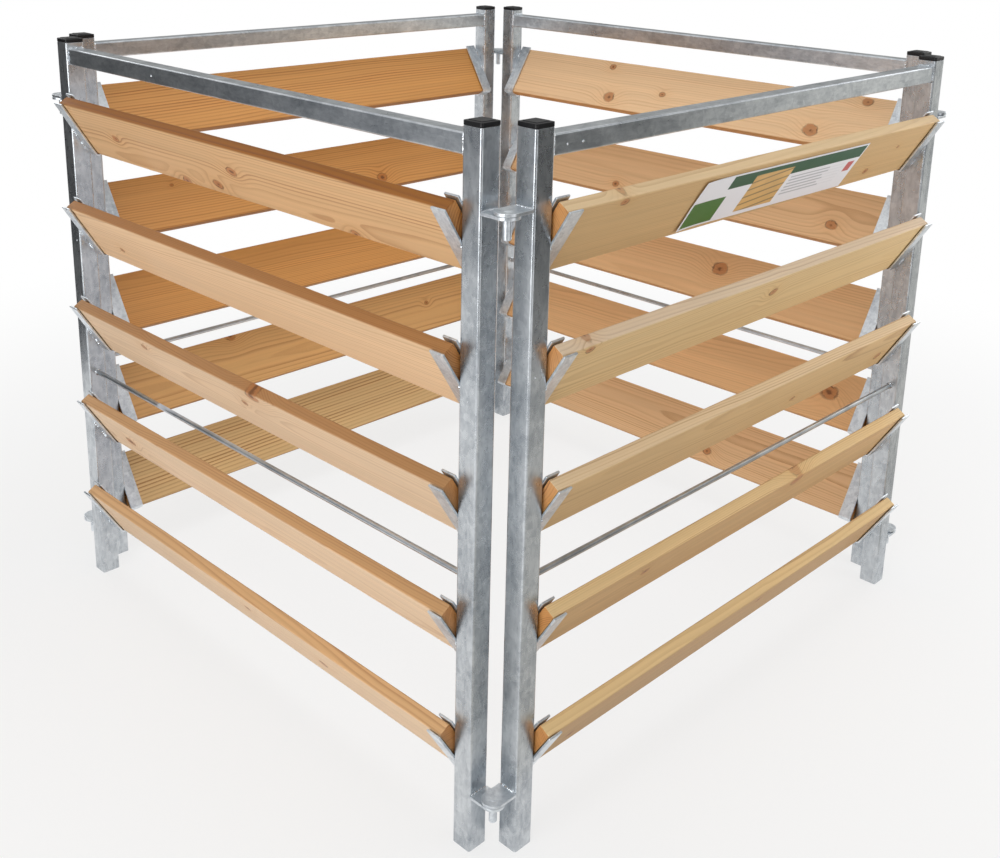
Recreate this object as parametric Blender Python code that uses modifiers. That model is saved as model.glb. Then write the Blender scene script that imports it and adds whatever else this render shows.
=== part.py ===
"""Slatted compost bin: four louvred panels pinned together at their ends.

Each panel is a welded frame of two posts, a top rail and a tie rod. Tilted
U-shaped holders on the posts carry five loose boards. At one end a panel has
two drop pins, at the other two eyes, so that four like panels close a square
and can rack like a parallelogram.

Metres, +Z up, origin on the ground below the middle of the bin. A panel is
drawn as the front one: X runs along it, from its pin end to its eye end, and
the outside faces -Y.
"""
import math

import bmesh
import bpy
from mathutils import Matrix, Vector

# Panels and their hinges
PIN_SPAN = 1.000            # from one hinge axis of a panel to the other
HINGE_REACH = 0.026         # from the hinge axis to the end face of the post
PLATE_THICKNESS = 0.004
PLATE_EASE = 0.0004         # chamfer round the plates
PIN_DIAMETER = 0.010
PIN_DROP = 0.029            # length of pin below its own plate
PIN_CHAMFER = 0.0015
EYE_PLAY = 0.001            # between pin and eye, all round
UPPER_HINGE_DROP = 0.0884   # from the post top down to the upper pin plate's top
LOWER_HINGE_HEIGHT = 0.088  # from the ground up to the lower pin plate's top

# Posts, rail, rod
POST_HEIGHT = 0.925
POST_WIDTH = 0.030
POST_WALL = 0.002
POST_CORNER_RADIUS = 0.003
RAIL_WIDTH = 0.025
RAIL_WALL = 0.002
RAIL_CORNER_RADIUS = 0.0025
RAIL_DROP = 0.010           # from the post top down to the rail top
ROD_DIAMETER = 0.008
ROD_GAP_BELOW = 2           # the rod lies above this row of boards, counted from the ground
ROD_SINK = 0.004            # of the rod below the middle of that gap

# Boards
BOARD_ROWS = 5
BOARD_WIDTH = 0.100
BOARD_THICKNESS = 0.018
BOARD_EDGE_RADIUS = 0.0022
BOARD_TILT = math.radians(32.0)  # from upright, top edge outwards
BOARD_OFFSET = 0.002        # of the board's middle outwards from the panel's plane
BOARD_END_GAP = 0.003       # between a board's end and the post
LOWEST_BOARD_HEIGHT = 0.1277  # from the ground to the middle of the lowest board
TOP_BOARD_DROP = 0.1305     # from the post top to the middle of the top board

# Holders, bent from flat strip
STRIP_WIDTH = 0.022
STRIP_THICKNESS = 0.003
STRIP_BEND_RADIUS = 0.003   # on the inside of the bend
BOARD_PLAY = 0.0015         # between the board's faces and the flanges
FLANGE_RISE = 0.003         # of the flanges above the board's top edge
WELD_DEPTH = 0.0008         # by which a holder runs into the wall of its post

# Caps on the posts
CAP_THICKNESS = 0.004
CAP_BORDER = 0.004          # flat border round the raised middle
CAP_RISE = 0.001
CAP_PLUG_LENGTH = 0.014
CAP_PLUG_WALL = 0.0018
CAP_MIDDLE_RADIUS = 0.0015  # corners of the raised middle
CAP_EASE = 0.0005           # chamfer round the plate and the raised middle

TOUCH_GAP = 0.0003          # left between pieces that touch or are welded together

# Facets
CORNER_STEPS = 3
BEND_STEPS = 3
TIP_STEPS = 10
ROUND_STEPS = 16

# The panels in turn, seen from above, each with the end on which it swings
PANELS = (("front", "pin"), ("right", "pin"), ("back", "pin"), ("left", "eye"))
QUARTER_TURN = math.pi / 2

HALF_SPAN = PIN_SPAN / 2
POST_NEAR = HINGE_REACH + POST_WIDTH          # hinge axis to the post's inner side
POST_MIDDLE = HINGE_REACH + POST_WIDTH / 2
CLEAR_LENGTH = PIN_SPAN - 2 * POST_NEAR       # between the two posts
BOARD_PITCH = (POST_HEIGHT - TOP_BOARD_DROP - LOWEST_BOARD_HEIGHT) / (BOARD_ROWS - 1)

PARTS = bpy.data.collections.new("compost_bin")


# Small tools

def clear_scene():
    for item in list(bpy.data.objects):
        bpy.data.objects.remove(item, do_unlink=True)


def arc(centre_x, centre_y, radius, start, end, steps):
    """Points along an arc, angles in radians, both ends included."""
    points = []
    for step in range(steps + 1):
        angle = start + (end - start) * step / steps
        points.append((centre_x + radius * math.cos(angle), centre_y + radius * math.sin(angle)))
    return points


def circle(radius, steps):
    return arc(0, 0, radius, 0, 2 * math.pi, steps)[:-1]


def rounded_square(width, radius):
    """Outline of a square with round corners, about the origin."""
    inset = width / 2 - radius
    points = []
    for quarter, (side_x, side_y) in enumerate(((1, 1), (-1, 1), (-1, -1), (1, -1))):
        start = quarter * QUARTER_TURN
        points += arc(side_x * inset, side_y * inset, radius, start, start + QUARTER_TURN, CORNER_STEPS)
    return points


def evaluated_mesh(item, name):
    """The mesh of an object with its modifiers applied; the object is removed."""
    bpy.context.view_layer.update()
    depsgraph = bpy.context.evaluated_depsgraph_get()
    mesh = bpy.data.meshes.new_from_object(item.evaluated_get(depsgraph))
    mesh.name = name
    bpy.data.objects.remove(item, do_unlink=True)
    return mesh


def weld(mesh):
    """Joins a mesh's loose caps to its sides."""
    bm = bmesh.new()
    bm.from_mesh(mesh)
    bmesh.ops.remove_doubles(bm, verts=bm.verts, dist=TOUCH_GAP / 10)
    bm.to_mesh(mesh)
    bm.free()


def extruded(name, outlines, depth):
    """A flat outline, with its holes, drawn out by depth along Z about z = 0."""
    curve = bpy.data.curves.new(name, "CURVE")
    curve.dimensions = "2D"
    curve.fill_mode = "BOTH"
    curve.extrude = depth / 2
    for outline in outlines:
        spline = curve.splines.new("POLY")
        spline.points.add(len(outline) - 1)
        for point, (x, y) in zip(spline.points, outline):
            point.co = (x, y, 0, 1)
        spline.use_cyclic_u = True
    item = bpy.data.objects.new(name, curve)
    bpy.context.scene.collection.objects.link(item)
    mesh = evaluated_mesh(item, name)
    bpy.data.curves.remove(curve)
    weld(mesh)
    return mesh


def turned(name, profile):
    """A profile of (radius, height) points, from the top down, turned about Z."""
    mesh = bpy.data.meshes.new(name)
    mesh.from_pydata([(radius, 0, height) for radius, height in profile],
                     [(index, index + 1) for index in range(len(profile) - 1)], [])
    item = bpy.data.objects.new(name, mesh)
    bpy.context.scene.collection.objects.link(item)
    screw = item.modifiers.new("turn", "SCREW")
    screw.steps = ROUND_STEPS
    screw.render_steps = ROUND_STEPS
    screw.use_merge_vertices = True
    screw.merge_threshold = TOUCH_GAP / 10
    result = evaluated_mesh(item, name)
    weld(result)
    return result


def united(name, base, additions):
    """One closed mesh from a base mesh and overlapping meshes, each with its matrix."""
    item = bpy.data.objects.new(name, base)
    bpy.context.scene.collection.objects.link(item)
    helpers = []
    for mesh, matrix in additions:
        helper = bpy.data.objects.new(name + "_addition", mesh)
        helper.matrix_world = matrix
        bpy.context.scene.collection.objects.link(helper)
        helpers.append(helper)
        union = item.modifiers.new("union", "BOOLEAN")
        union.operation = "UNION"
        union.solver = "EXACT"
        union.object = helper
    result = evaluated_mesh(item, name)
    for helper in helpers:
        bpy.data.objects.remove(helper, do_unlink=True)
    return result


def ease_edges(mesh, width, least_angle=math.radians(50)):
    """A small chamfer on every sharp edge."""
    bm = bmesh.new()
    bm.from_mesh(mesh)
    bmesh.ops.dissolve_limit(bm, angle_limit=math.radians(1), verts=bm.verts, edges=bm.edges)
    sharp = [edge for edge in bm.edges if edge.calc_face_angle(0) > least_angle]
    bmesh.ops.bevel(bm, geom=sharp, offset=width, segments=1, affect="EDGES", clamp_overlap=True)
    bm.to_mesh(mesh)
    bm.free()


def shade(mesh):
    mesh.shade_smooth()
    mesh.set_sharp_from_angle(angle=math.radians(32))


# Materials

def finish(name, colour, roughness, metallic):
    material = bpy.data.materials.new(name)
    material.use_nodes = True
    material.diffuse_color = (*colour, 1)
    shader = material.node_tree.nodes["Principled BSDF"]
    shader.inputs["Base Color"].default_value = (*colour, 1)
    shader.inputs["Roughness"].default_value = roughness
    shader.inputs["Metallic"].default_value = metallic
    return material


def galvanised_tube():
    return finish("galvanised_tube", (0.36, 0.39, 0.43), 0.48, 0.85)


def galvanised_rod():
    return finish("galvanised_rod", (0.44, 0.46, 0.49), 0.40, 0.90)


def galvanised_plate():
    return finish("galvanised_plate", (0.40, 0.43, 0.46), 0.45, 0.85)


def planed_softwood():
    return finish("planed_softwood", (0.62, 0.38, 0.19), 0.62, 0.0)


def black_plastic():
    return finish("black_plastic", (0.02, 0.02, 0.022), 0.38, 0.0)


# Shapes of the pieces

def tube_mesh(name, width, wall, corner_radius, length):
    """A square tube along Z; its bore's corners are rounder than the wall alone would leave them."""
    bore = rounded_square(width - 2 * wall, bore_radius(wall, corner_radius))
    return extruded(name, (rounded_square(width, corner_radius), bore), length)


def holder_outline():
    """A U seen from its side: the board's lower edge would rest at y = 0.

    The flanges run up along Y. The inner bends join the web to the flanges,
    and the outer ones run round them at the thickness of the strip.
    """
    half_gap = BOARD_THICKNESS / 2 + BOARD_PLAY
    top = BOARD_WIDTH + FLANGE_RISE
    web = -TOUCH_GAP
    inner_x = half_gap - STRIP_BEND_RADIUS
    inner_y = web + STRIP_BEND_RADIUS
    outer_radius = STRIP_BEND_RADIUS + STRIP_THICKNESS
    outside = [(-half_gap - STRIP_THICKNESS, top)]
    outside += arc(-inner_x, inner_y, outer_radius, math.pi, 1.5 * math.pi, BEND_STEPS)
    outside += arc(inner_x, inner_y, outer_radius, 1.5 * math.pi, 2 * math.pi, BEND_STEPS)
    outside.append((half_gap + STRIP_THICKNESS, top))
    inside = [(half_gap, top)]
    inside += arc(inner_x, inner_y, STRIP_BEND_RADIUS, 0, -QUARTER_TURN, BEND_STEPS)
    inside += arc(-inner_x, inner_y, STRIP_BEND_RADIUS, -QUARTER_TURN, -math.pi, BEND_STEPS)
    inside.append((-half_gap, top))
    return outside + inside


def bore_radius(wall, corner_radius):
    return corner_radius - wall / 2


def board_height(row):
    """Height of the middle of a board; row 1 is the lowest."""
    return LOWEST_BOARD_HEIGHT + (row - 1) * BOARD_PITCH


def board_frame(row, along):
    """Frame of a board: X across its thickness, Y up its width, Z along the panel."""
    up_width = Vector((0, -math.sin(BOARD_TILT), math.cos(BOARD_TILT)))
    along_panel = Vector((1, 0, 0))
    across = up_width.cross(along_panel)
    turn = Matrix((across, up_width, along_panel)).transposed().to_4x4()
    return Matrix.Translation((along, -BOARD_OFFSET, board_height(row))) @ turn


def post_mesh(name, holder_side):
    """A post with its welded holders, about the post's middle at ground level.

    holder_side is +1 where the boards lie towards +X, and -1 on the other post.
    """
    tube = tube_mesh("post_tube", POST_WIDTH, POST_WALL, POST_CORNER_RADIUS, POST_HEIGHT)
    tube.transform(Matrix.Translation((0, 0, POST_HEIGHT / 2)))
    holder = extruded("holder", (holder_outline(),), STRIP_WIDTH + WELD_DEPTH)
    along = holder_side * (POST_WIDTH + STRIP_WIDTH - WELD_DEPTH) / 2
    below_middle = Matrix.Translation((0, -BOARD_WIDTH / 2, 0))
    holders = [(holder, board_frame(row, along) @ below_middle) for row in range(1, BOARD_ROWS + 1)]
    mesh = united(name, tube, holders)
    shade(mesh)
    return mesh


def rail_mesh():
    mesh = tube_mesh("top_rail", RAIL_WIDTH, RAIL_WALL, RAIL_CORNER_RADIUS, CLEAR_LENGTH - 2 * TOUCH_GAP)
    mesh.transform(Matrix.Rotation(QUARTER_TURN, 4, "Y"))
    shade(mesh)
    return mesh


def rod_mesh():
    mesh = extruded("tie_rod", (circle(ROD_DIAMETER / 2, ROUND_STEPS),), CLEAR_LENGTH - 2 * TOUCH_GAP)
    mesh.transform(Matrix.Rotation(QUARTER_TURN, 4, "Y"))
    shade(mesh)
    return mesh


def board_mesh():
    """A board, its thickness along X, its width along Y and its length along Z."""
    half_x = BOARD_THICKNESS / 2 - BOARD_EDGE_RADIUS
    half_y = BOARD_WIDTH / 2 - BOARD_EDGE_RADIUS
    outline = []
    for quarter, (side_x, side_y) in enumerate(((1, 1), (-1, 1), (-1, -1), (1, -1))):
        start = quarter * QUARTER_TURN
        outline += arc(side_x * half_x, side_y * half_y, BOARD_EDGE_RADIUS,
                       start, start + QUARTER_TURN, CORNER_STEPS)
    mesh = extruded("board", (outline,), CLEAR_LENGTH - 2 * BOARD_END_GAP)
    shade(mesh)
    return mesh


def plate_outline():
    """A hinge plate about the hinge axis, with its square end towards the post at +X."""
    half = POST_WIDTH / 2
    end = HINGE_REACH - TOUCH_GAP
    return [(end, -half), (end, half)] + arc(0, 0, half, QUARTER_TURN, 3 * QUARTER_TURN, TIP_STEPS)


def eye_plate_mesh():
    eye = circle(PIN_DIAMETER / 2 + EYE_PLAY, ROUND_STEPS)
    mesh = extruded("eye_plate", (plate_outline(), eye), PLATE_THICKNESS)
    ease_edges(mesh, PLATE_EASE)
    shade(mesh)
    return mesh


def pin_plate_mesh():
    """A plate with the drop pin set through it, about the middle of the plate."""
    plate = extruded("pin_plate", (plate_outline(),), PLATE_THICKNESS)
    ease_edges(plate, PLATE_EASE)
    radius = PIN_DIAMETER / 2
    head = PLATE_THICKNESS / 2 + PLATE_EASE
    foot = -PLATE_THICKNESS / 2 - PIN_DROP
    profile = [(0, head), (radius - PLATE_EASE, head), (radius, head - PLATE_EASE),
               (radius, foot + PIN_CHAMFER), (radius - PIN_CHAMFER, foot), (0, foot)]
    mesh = united("pin_plate", plate, [(turned("pin", profile), Matrix())])
    shade(mesh)
    return mesh


def cap_mesh():
    """A push-in cap whose plate lies on z = 0: raised middle above, hollow plug below."""
    plate = extruded("post_cap", (rounded_square(POST_WIDTH, POST_CORNER_RADIUS),), CAP_THICKNESS)
    ease_edges(plate, CAP_EASE)
    plate.transform(Matrix.Translation((0, 0, CAP_THICKNESS / 2)))
    middle_width = POST_WIDTH - 2 * CAP_BORDER
    middle = extruded("cap_middle", (rounded_square(middle_width, CAP_MIDDLE_RADIUS),), 2 * CAP_RISE)
    ease_edges(middle, CAP_EASE)
    lifted = Matrix.Translation((0, 0, CAP_THICKNESS))
    plug_width = POST_WIDTH - 2 * POST_WALL - 2 * TOUCH_GAP
    plug_length = CAP_PLUG_LENGTH + CAP_THICKNESS / 2
    plug_radius = bore_radius(POST_WALL, POST_CORNER_RADIUS)
    plug = tube_mesh("cap_plug", plug_width, CAP_PLUG_WALL, plug_radius, plug_length)
    lowered = Matrix.Translation((0, 0, CAP_THICKNESS / 2 - plug_length / 2))
    mesh = united("post_cap", plate, [(middle, lifted), (plug, lowered)])
    shade(mesh)
    return mesh


# The pieces in their places

def add_piece(name, mesh, material, panel_frame, place):
    """One sub-part under its panel's empty; place is its frame in the panel's own frame."""
    item = bpy.data.objects.new(name, mesh)
    PARTS.objects.link(item)
    if not mesh.materials:
        mesh.materials.append(material)
    item.parent = panel_frame
    item.matrix_basis = place
    return item


def add_panel_frame(panel, swing_end, turn):
    """An empty on the hinge axis on which the panel swings."""
    side = -1 if swing_end == "pin" else 1
    frame = bpy.data.objects.new(panel + "_hinge_axis", None)
    PARTS.objects.link(frame)
    frame.matrix_world = Matrix.Rotation(turn, 4, "Z") @ Matrix.Translation((side * HALF_SPAN, -HALF_SPAN, 0))
    return frame, -side * HALF_SPAN


def add_posts(panel, frame, middle, shapes, materials):
    """Posts, with their caps, rail and rod; middle is the panel's middle along X."""
    for end, side in (("pin", -1), ("eye", 1)):
        along = middle + side * (HALF_SPAN - POST_MIDDLE)
        add_piece(f"{panel}_{end}_post", shapes[end + "_post"], materials["tube"], frame,
                  Matrix.Translation((along, 0, 0)))
        add_piece(f"{panel}_{end}_post_cap", shapes["cap"], materials["cap"], frame,
                  Matrix.Translation((along, 0, POST_HEIGHT + TOUCH_GAP)))
    rail_height = POST_HEIGHT - RAIL_DROP - RAIL_WIDTH / 2
    add_piece(f"{panel}_top_rail", shapes["rail"], materials["tube"], frame,
              Matrix.Translation((middle, 0, rail_height)))
    rod_height = board_height(ROD_GAP_BELOW) + BOARD_PITCH / 2 - ROD_SINK
    add_piece(f"{panel}_tie_rod", shapes["rod"], materials["rod"], frame,
              Matrix.Translation((middle, 0, rod_height)))


def add_boards(panel, frame, middle, shapes, materials):
    """Boards in their holders, numbered from the top."""
    for number in range(1, BOARD_ROWS + 1):
        add_piece(f"{panel}_slat_{number}", shapes["board"], materials["wood"], frame,
                  board_frame(BOARD_ROWS + 1 - number, middle))


def add_hinges(panel, frame, middle, shapes, materials):
    """Pins at one end of the panel and eyes at the other, each eye just below its pin's plate."""
    levels = (("upper", POST_HEIGHT - UPPER_HINGE_DROP), ("lower", LOWER_HINGE_HEIGHT))
    for level, top in levels:
        pin_height = top - PLATE_THICKNESS / 2
        add_piece(f"{panel}_{level}_hinge_pin", shapes["pin_plate"], materials["plate"], frame,
                  Matrix.Translation((middle - HALF_SPAN, 0, pin_height)))
        eye_height = pin_height - PLATE_THICKNESS - TOUCH_GAP
        add_piece(f"{panel}_{level}_hinge_eye", shapes["eye_plate"], materials["plate"], frame,
                  Matrix.Translation((middle + HALF_SPAN, 0, eye_height)) @ Matrix.Rotation(math.pi, 4, "Z"))


def build():
    clear_scene()
    bpy.context.scene.collection.children.link(PARTS)
    shapes = {
        "pin_post": post_mesh("pin_post", 1),
        "eye_post": post_mesh("eye_post", -1),
        "rail": rail_mesh(),
        "rod": rod_mesh(),
        "board": board_mesh(),
        "cap": cap_mesh(),
        "pin_plate": pin_plate_mesh(),
        "eye_plate": eye_plate_mesh(),
    }
    materials = {
        "tube": galvanised_tube(),
        "rod": galvanised_rod(),
        "plate": galvanised_plate(),
        "wood": planed_softwood(),
        "cap": black_plastic(),
    }
    for quarter, (panel, swing_end) in enumerate(PANELS):
        frame, middle = add_panel_frame(panel, swing_end, quarter * QUARTER_TURN)
        add_posts(panel, frame, middle, shapes, materials)
        add_boards(panel, frame, middle, shapes, materials)
        add_hinges(panel, frame, middle, shapes, materials)
    bpy.context.view_layer.update()


build()
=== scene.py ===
"""Slatted compost bin: the finish of its boards, zinc-coated frames, hinges and caps, and its stage.

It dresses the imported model. Each piece takes the place of a CAD node, or is
fitted to one, and moves with that node's body.

Metres, +Z up, origin on the ground below the middle of the bin. A panel is
drawn as the front one: X runs along it, from its pin end to its eye end, and
the outside faces -Y. Quarter turns about Z give the other three.
"""
import math
import random

import bmesh
import bpy
from bpy.props import FloatProperty, FloatVectorProperty, IntProperty, PointerProperty
from mathutils import Matrix, Vector, noise


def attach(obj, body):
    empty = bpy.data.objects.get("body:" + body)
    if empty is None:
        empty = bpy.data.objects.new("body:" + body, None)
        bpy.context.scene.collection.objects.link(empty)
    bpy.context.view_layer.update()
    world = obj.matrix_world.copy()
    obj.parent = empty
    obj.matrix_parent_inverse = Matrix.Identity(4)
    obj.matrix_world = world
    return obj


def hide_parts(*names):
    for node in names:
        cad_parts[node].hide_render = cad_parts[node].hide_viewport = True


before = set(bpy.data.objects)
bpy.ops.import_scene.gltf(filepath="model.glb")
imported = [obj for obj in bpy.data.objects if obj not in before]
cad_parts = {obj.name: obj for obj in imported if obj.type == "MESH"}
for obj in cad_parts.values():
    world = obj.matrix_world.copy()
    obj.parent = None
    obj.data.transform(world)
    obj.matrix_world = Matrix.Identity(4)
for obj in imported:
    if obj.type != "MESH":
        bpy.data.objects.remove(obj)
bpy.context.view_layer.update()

bl_info = {
    "name": "Slatted compost bin",
    "version": (1, 0, 0),
    "blender": (4, 5, 0),
    "location": "3D View > Sidebar > Compost Bin",
    "description": "Dresses the slatted compost bin with boards, zinc-coated steel, caps and a stage",
    "category": "Object",
}

# Panels, in turn as seen from above
PANELS = ("front", "right", "back", "left")
QUARTER_TURN = math.pi / 2
HALF_SPAN = 0.500           # from the bin's middle to a panel's plane, and to its hinge axes
HINGE_REACH = 0.026         # from a hinge axis to the end face of the post
BOARD_ROWS = 5
LOWEST_BOARD_HEIGHT = 0.1277  # from the ground to the middle of the lowest board
BOARD_PITCH = 0.1667
BOARD_OFFSET = 0.002        # of a board's middle outwards from the panel's plane
ROD_HEIGHT = 0.37375
HINGE_LEVELS = (("upper", 0.8366), ("lower", 0.088))  # height of each pin plate's top
TOUCH_GAP = 0.0003          # between pieces that touch

# Facets
CORNER_STEPS = 6
ARRIS_STEPS = 4
TIP_STEPS = 28
ROUND_STEPS = 32
BEAD_STEPS = 8
ROD_BEAD_STEPS = 20
EDGE_STEPS = 3
BOARD_CUTS = 44
FACE_CUTS = 7               # across a board's face
THIN_CUTS = 2               # across a board's edge
SHARP_ANGLE = math.radians(42)

# Roundings and small shapes, in metres
TUBE_EDGE = 0.0004
CUT_EDGE = 0.0003
STRIP_EDGE = 0.0006
STRIP_TIP = 0.0008
BEAD_STEP = 0.0009          # from one ring of a weld bead to the next
BEAD_CLEARANCE = 0.0003     # of a bead's path off what it runs round

BIN = bpy.data.collections.new("compost_bin")
STAGE = bpy.data.collections.new("stage")


def linear(red, green, blue):
    """A screen colour of 0 to 255 as the linear colour that shaders take."""
    values = []
    for part in (red, green, blue):
        share = part / 255
        values.append(share / 12.92 if share <= 0.04045 else ((share + 0.055) / 1.055) ** 2.4)
    return tuple(values)


def metres(name, description, default):
    """A length that a user can set."""
    return FloatProperty(name=name, description=description, default=default, min=0.0001,
                         precision=4, unit="LENGTH", subtype="DISTANCE")


def paint(name, description, red, green, blue):
    """A colour that a user can set, given in screen values of 0 to 255."""
    return FloatVectorProperty(name=name, description=description, default=linear(red, green, blue),
                               size=3, min=0, max=1, subtype="COLOR")


# What a user would change

class BoardSettings(bpy.types.PropertyGroup):
    """Sizes and colours of the wooden boards."""
    width: metres("Width", "Width of a board", 0.100)
    thickness: metres("Thickness", "Thickness of a board", 0.018)
    length: metres("Length", "Length of a board between the posts", 0.882)
    arris: metres("Arris", "Radius of a board's long edges", 0.0022)
    tilt: FloatProperty(name="Tilt", description="Lean of the boards from upright, top edge outwards",
                        default=math.radians(32), subtype="ANGLE", unit="ROTATION")
    warp: metres("Warp", "Most that a board bows, cups or twists", 0.0006)
    ring_width: metres("Ring width", "Width of one year's growth", 0.0027)
    pale_tan: paint("Pale tan", "Palest planed wood", 236, 212, 184)
    straw_tan: paint("Straw tan", "Yellowish planed wood", 224, 192, 138)
    fawn_tan: paint("Fawn tan", "Duller planed wood", 190, 151, 103)
    golden_tan: paint("Golden tan", "Bright warm planed wood", 246, 215, 174)
    honey_tan: paint("Honey tan", "Warm planed wood", 214, 172, 124)
    orange_tan: paint("Orange tan", "Warmest planed wood", 210, 148, 76)
    # The edges' own brown, deepened into painted shade on the upper front boards' edges.
    edge_brown_and_shade: paint("Brown tan", "Darkest sawn edges", 150, 92, 24)
    late_wood: FloatVectorProperty(name="Late wood", description="What dark lines keep of the wood's colour",
                                   default=(0.56, 0.40, 0.27), size=3, min=0, max=1, subtype="COLOR")
    knot_wood: paint("Knots", "Wood of the knots", 176, 100, 36)
    end_wood: paint("End grain", "Cross-cut ends of the boards", 198, 132, 66)


class SteelSettings(bpy.types.PropertyGroup):
    """Sizes and colours of the zinc-coated posts, rails, rods, holders and welds."""
    post_height: metres("Post height", "Height of the posts below their caps", 0.9235)
    post_width: metres("Post width", "Side of the square posts", 0.030)
    post_corner: metres("Post corner", "Corner radius of the posts", 0.003)
    wall: metres("Wall", "Wall of the posts and rails", 0.002)
    rail_width: metres("Rail width", "Side of the square top rails", 0.025)
    rail_corner: metres("Rail corner", "Corner radius of the rails", 0.0025)
    rail_drop: metres("Rail drop", "From the post's top down to the rail's top", 0.0085)
    rod_diameter: metres("Rod diameter", "Diameter of the tie rods", 0.008)
    strip_width: metres("Strip width", "Width of the holders' strip", 0.022)
    strip_thickness: metres("Strip thickness", "Thickness of the holders' strip", 0.003)
    bend: metres("Bend", "Inner radius of the holders' bends", 0.003)
    play: metres("Play", "Between a board's faces and its holder", 0.0015)
    flange_rise: metres("Flange rise", "Of the holders above the board's top edge", 0.003)
    weld_depth: metres("Weld depth", "By which a holder runs into its post", 0.0008)
    bead: metres("Bead", "Radius of the weld beads", 0.0015)
    light_zinc: paint("Light zinc", "Bright parts of the zinc coat", 220, 224, 227)
    dark_zinc: paint("Dark zinc", "Dull parts of the zinc coat", 122, 130, 139)
    rubbed_zinc: paint("Rubbed zinc", "Glints where the coat is rubbed or splashed", 236, 239, 243)


class HingeSettings(bpy.types.PropertyGroup):
    """Sizes of the hinge plates and their drop pins."""
    plate_thickness: metres("Plate thickness", "Thickness of the hinge plates", 0.004)
    plate_edge: metres("Plate edge", "Rounding of the plates' edges", 0.0006)
    pin_diameter: metres("Pin diameter", "Diameter of the drop pins", 0.010)
    pin_drop: metres("Pin drop", "Length of pin below its plate", 0.029)
    pin_chamfer: metres("Pin chamfer", "Chamfer at the foot of a pin", 0.0015)
    pin_head: metres("Pin head", "Of the pin above its plate", 0.0004)
    eye_play: metres("Eye play", "Between pin and eye, all round", 0.001)


class CapSettings(bpy.types.PropertyGroup):
    """Sizes and colour of the black caps on the posts."""
    thickness: metres("Thickness", "Thickness of a cap's plate", 0.0055)
    border: metres("Border", "Flat border round the raised middle", 0.004)
    rise: metres("Rise", "Of the raised middle", 0.001)
    plug_length: metres("Plug length", "Of the plug in the post", 0.0125)
    plug_wall: metres("Plug wall", "Wall of the hollow plug", 0.0018)
    edge: metres("Edge", "Rounding of the edges", 0.0008)
    plastic: paint("Plastic", "Colour of the caps", 17, 17, 19)


class SheetSettings(bpy.types.PropertyGroup):
    """Sizes and colours of the paper sheet on the uppermost right board."""
    length: metres("Length", "Length of the sheet", 0.408)
    height: metres("Height", "Height of the sheet", 0.085)
    thickness: metres("Thickness", "Thickness of the sheet", 0.00025)
    lift: metres("Lift", "By which its loose end stands off the board", 0.0022)
    turn: FloatProperty(name="Turn", description="Tilt of the sheet on its board",
                        default=math.radians(-0.4), subtype="ANGLE", unit="ROTATION")
    paper: paint("Paper", "Bare paper", 232, 232, 236)
    green: paint("Green", "Band along the top", 14, 82, 50)
    leaf: paint("Leaf green", "Block at the sheet's left end", 54, 112, 40)
    grey: paint("Grey", "Ruled bars", 168, 170, 176)
    red: paint("Red", "Small square", 190, 52, 48)


class StageSettings(bpy.types.PropertyGroup):
    """The floor, the light and the camera."""
    floor_size: metres("Floor size", "Side of the floor", 40.0)
    floor: paint("Floor", "Colour of the floor", 220, 220, 219)
    ambient: FloatProperty(name="Ambient", description="Light from all round", default=0.42, min=0)
    key: FloatProperty(name="Key light", description="From the left of the camera", default=46,
                       min=0, unit="POWER")
    lens: FloatProperty(name="Lens", description="Focal length of the camera, on a 36 mm wide sensor",
                        default=44.83, min=1, unit="CAMERA")
    seed: IntProperty(name="Seed", description="Start of every random choice", default=7)


# Shader maths

def maths(operation):
    """A Python operator that adds the node for an operation."""
    return lambda self, other: self.sum(operation, other)


class Wire:
    """An output in a material's nodes. Python's operators on it add the nodes that work them out."""

    def __init__(self, finish, socket):
        self.finish = finish
        self.socket = socket

    def sum(self, operation, *others):
        """One Math node, or a Vector Math node where a vector or colour takes part."""
        parts = (self,) + others
        wide = any(isinstance(part, Wire) and part.socket.type != "VALUE" for part in parts)
        kind = "ShaderNodeVectorMath" if wide else "ShaderNodeMath"
        if wide:
            parts = [part if isinstance(part, Wire) or hasattr(part, "__len__") else (part,) * 3
                     for part in parts]
        return self.finish.node(kind, {"operation": operation}, dict(enumerate(parts)))

    __add__ = maths("ADD")
    __radd__ = maths("ADD")
    __sub__ = maths("SUBTRACT")
    __mul__ = maths("MULTIPLY")
    __rmul__ = maths("MULTIPLY")
    __truediv__ = maths("DIVIDE")
    __pow__ = maths("POWER")

    def __rsub__(self, other):
        return (self * -1) + other

    def beside(self, output):
        """Another output of the same node."""
        return Wire(self.finish, self.socket.node.outputs[output])

    def split(self):
        """The three parts of a vector or colour."""
        first = self.finish.node("ShaderNodeSeparateXYZ", {}, {0: self})
        return first, first.beside(1), first.beside(2)

    def size(self):
        """Size of a number, without its sign."""
        return self.sum("ABSOLUTE")

    def fade(self, low, high):
        """0 up to low and 1 from high on, with a smooth rise between them."""
        return self.finish.node("ShaderNodeMapRange", {"interpolation_type": "SMOOTHSTEP"},
                                {"Value": self, "From Min": low, "From Max": high})

    def within(self, low, high, soft):
        """1 between low and high and 0 elsewhere, with edges of width soft."""
        return self.fade(low - soft, low) * (1 - self.fade(high, high + soft))


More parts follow.
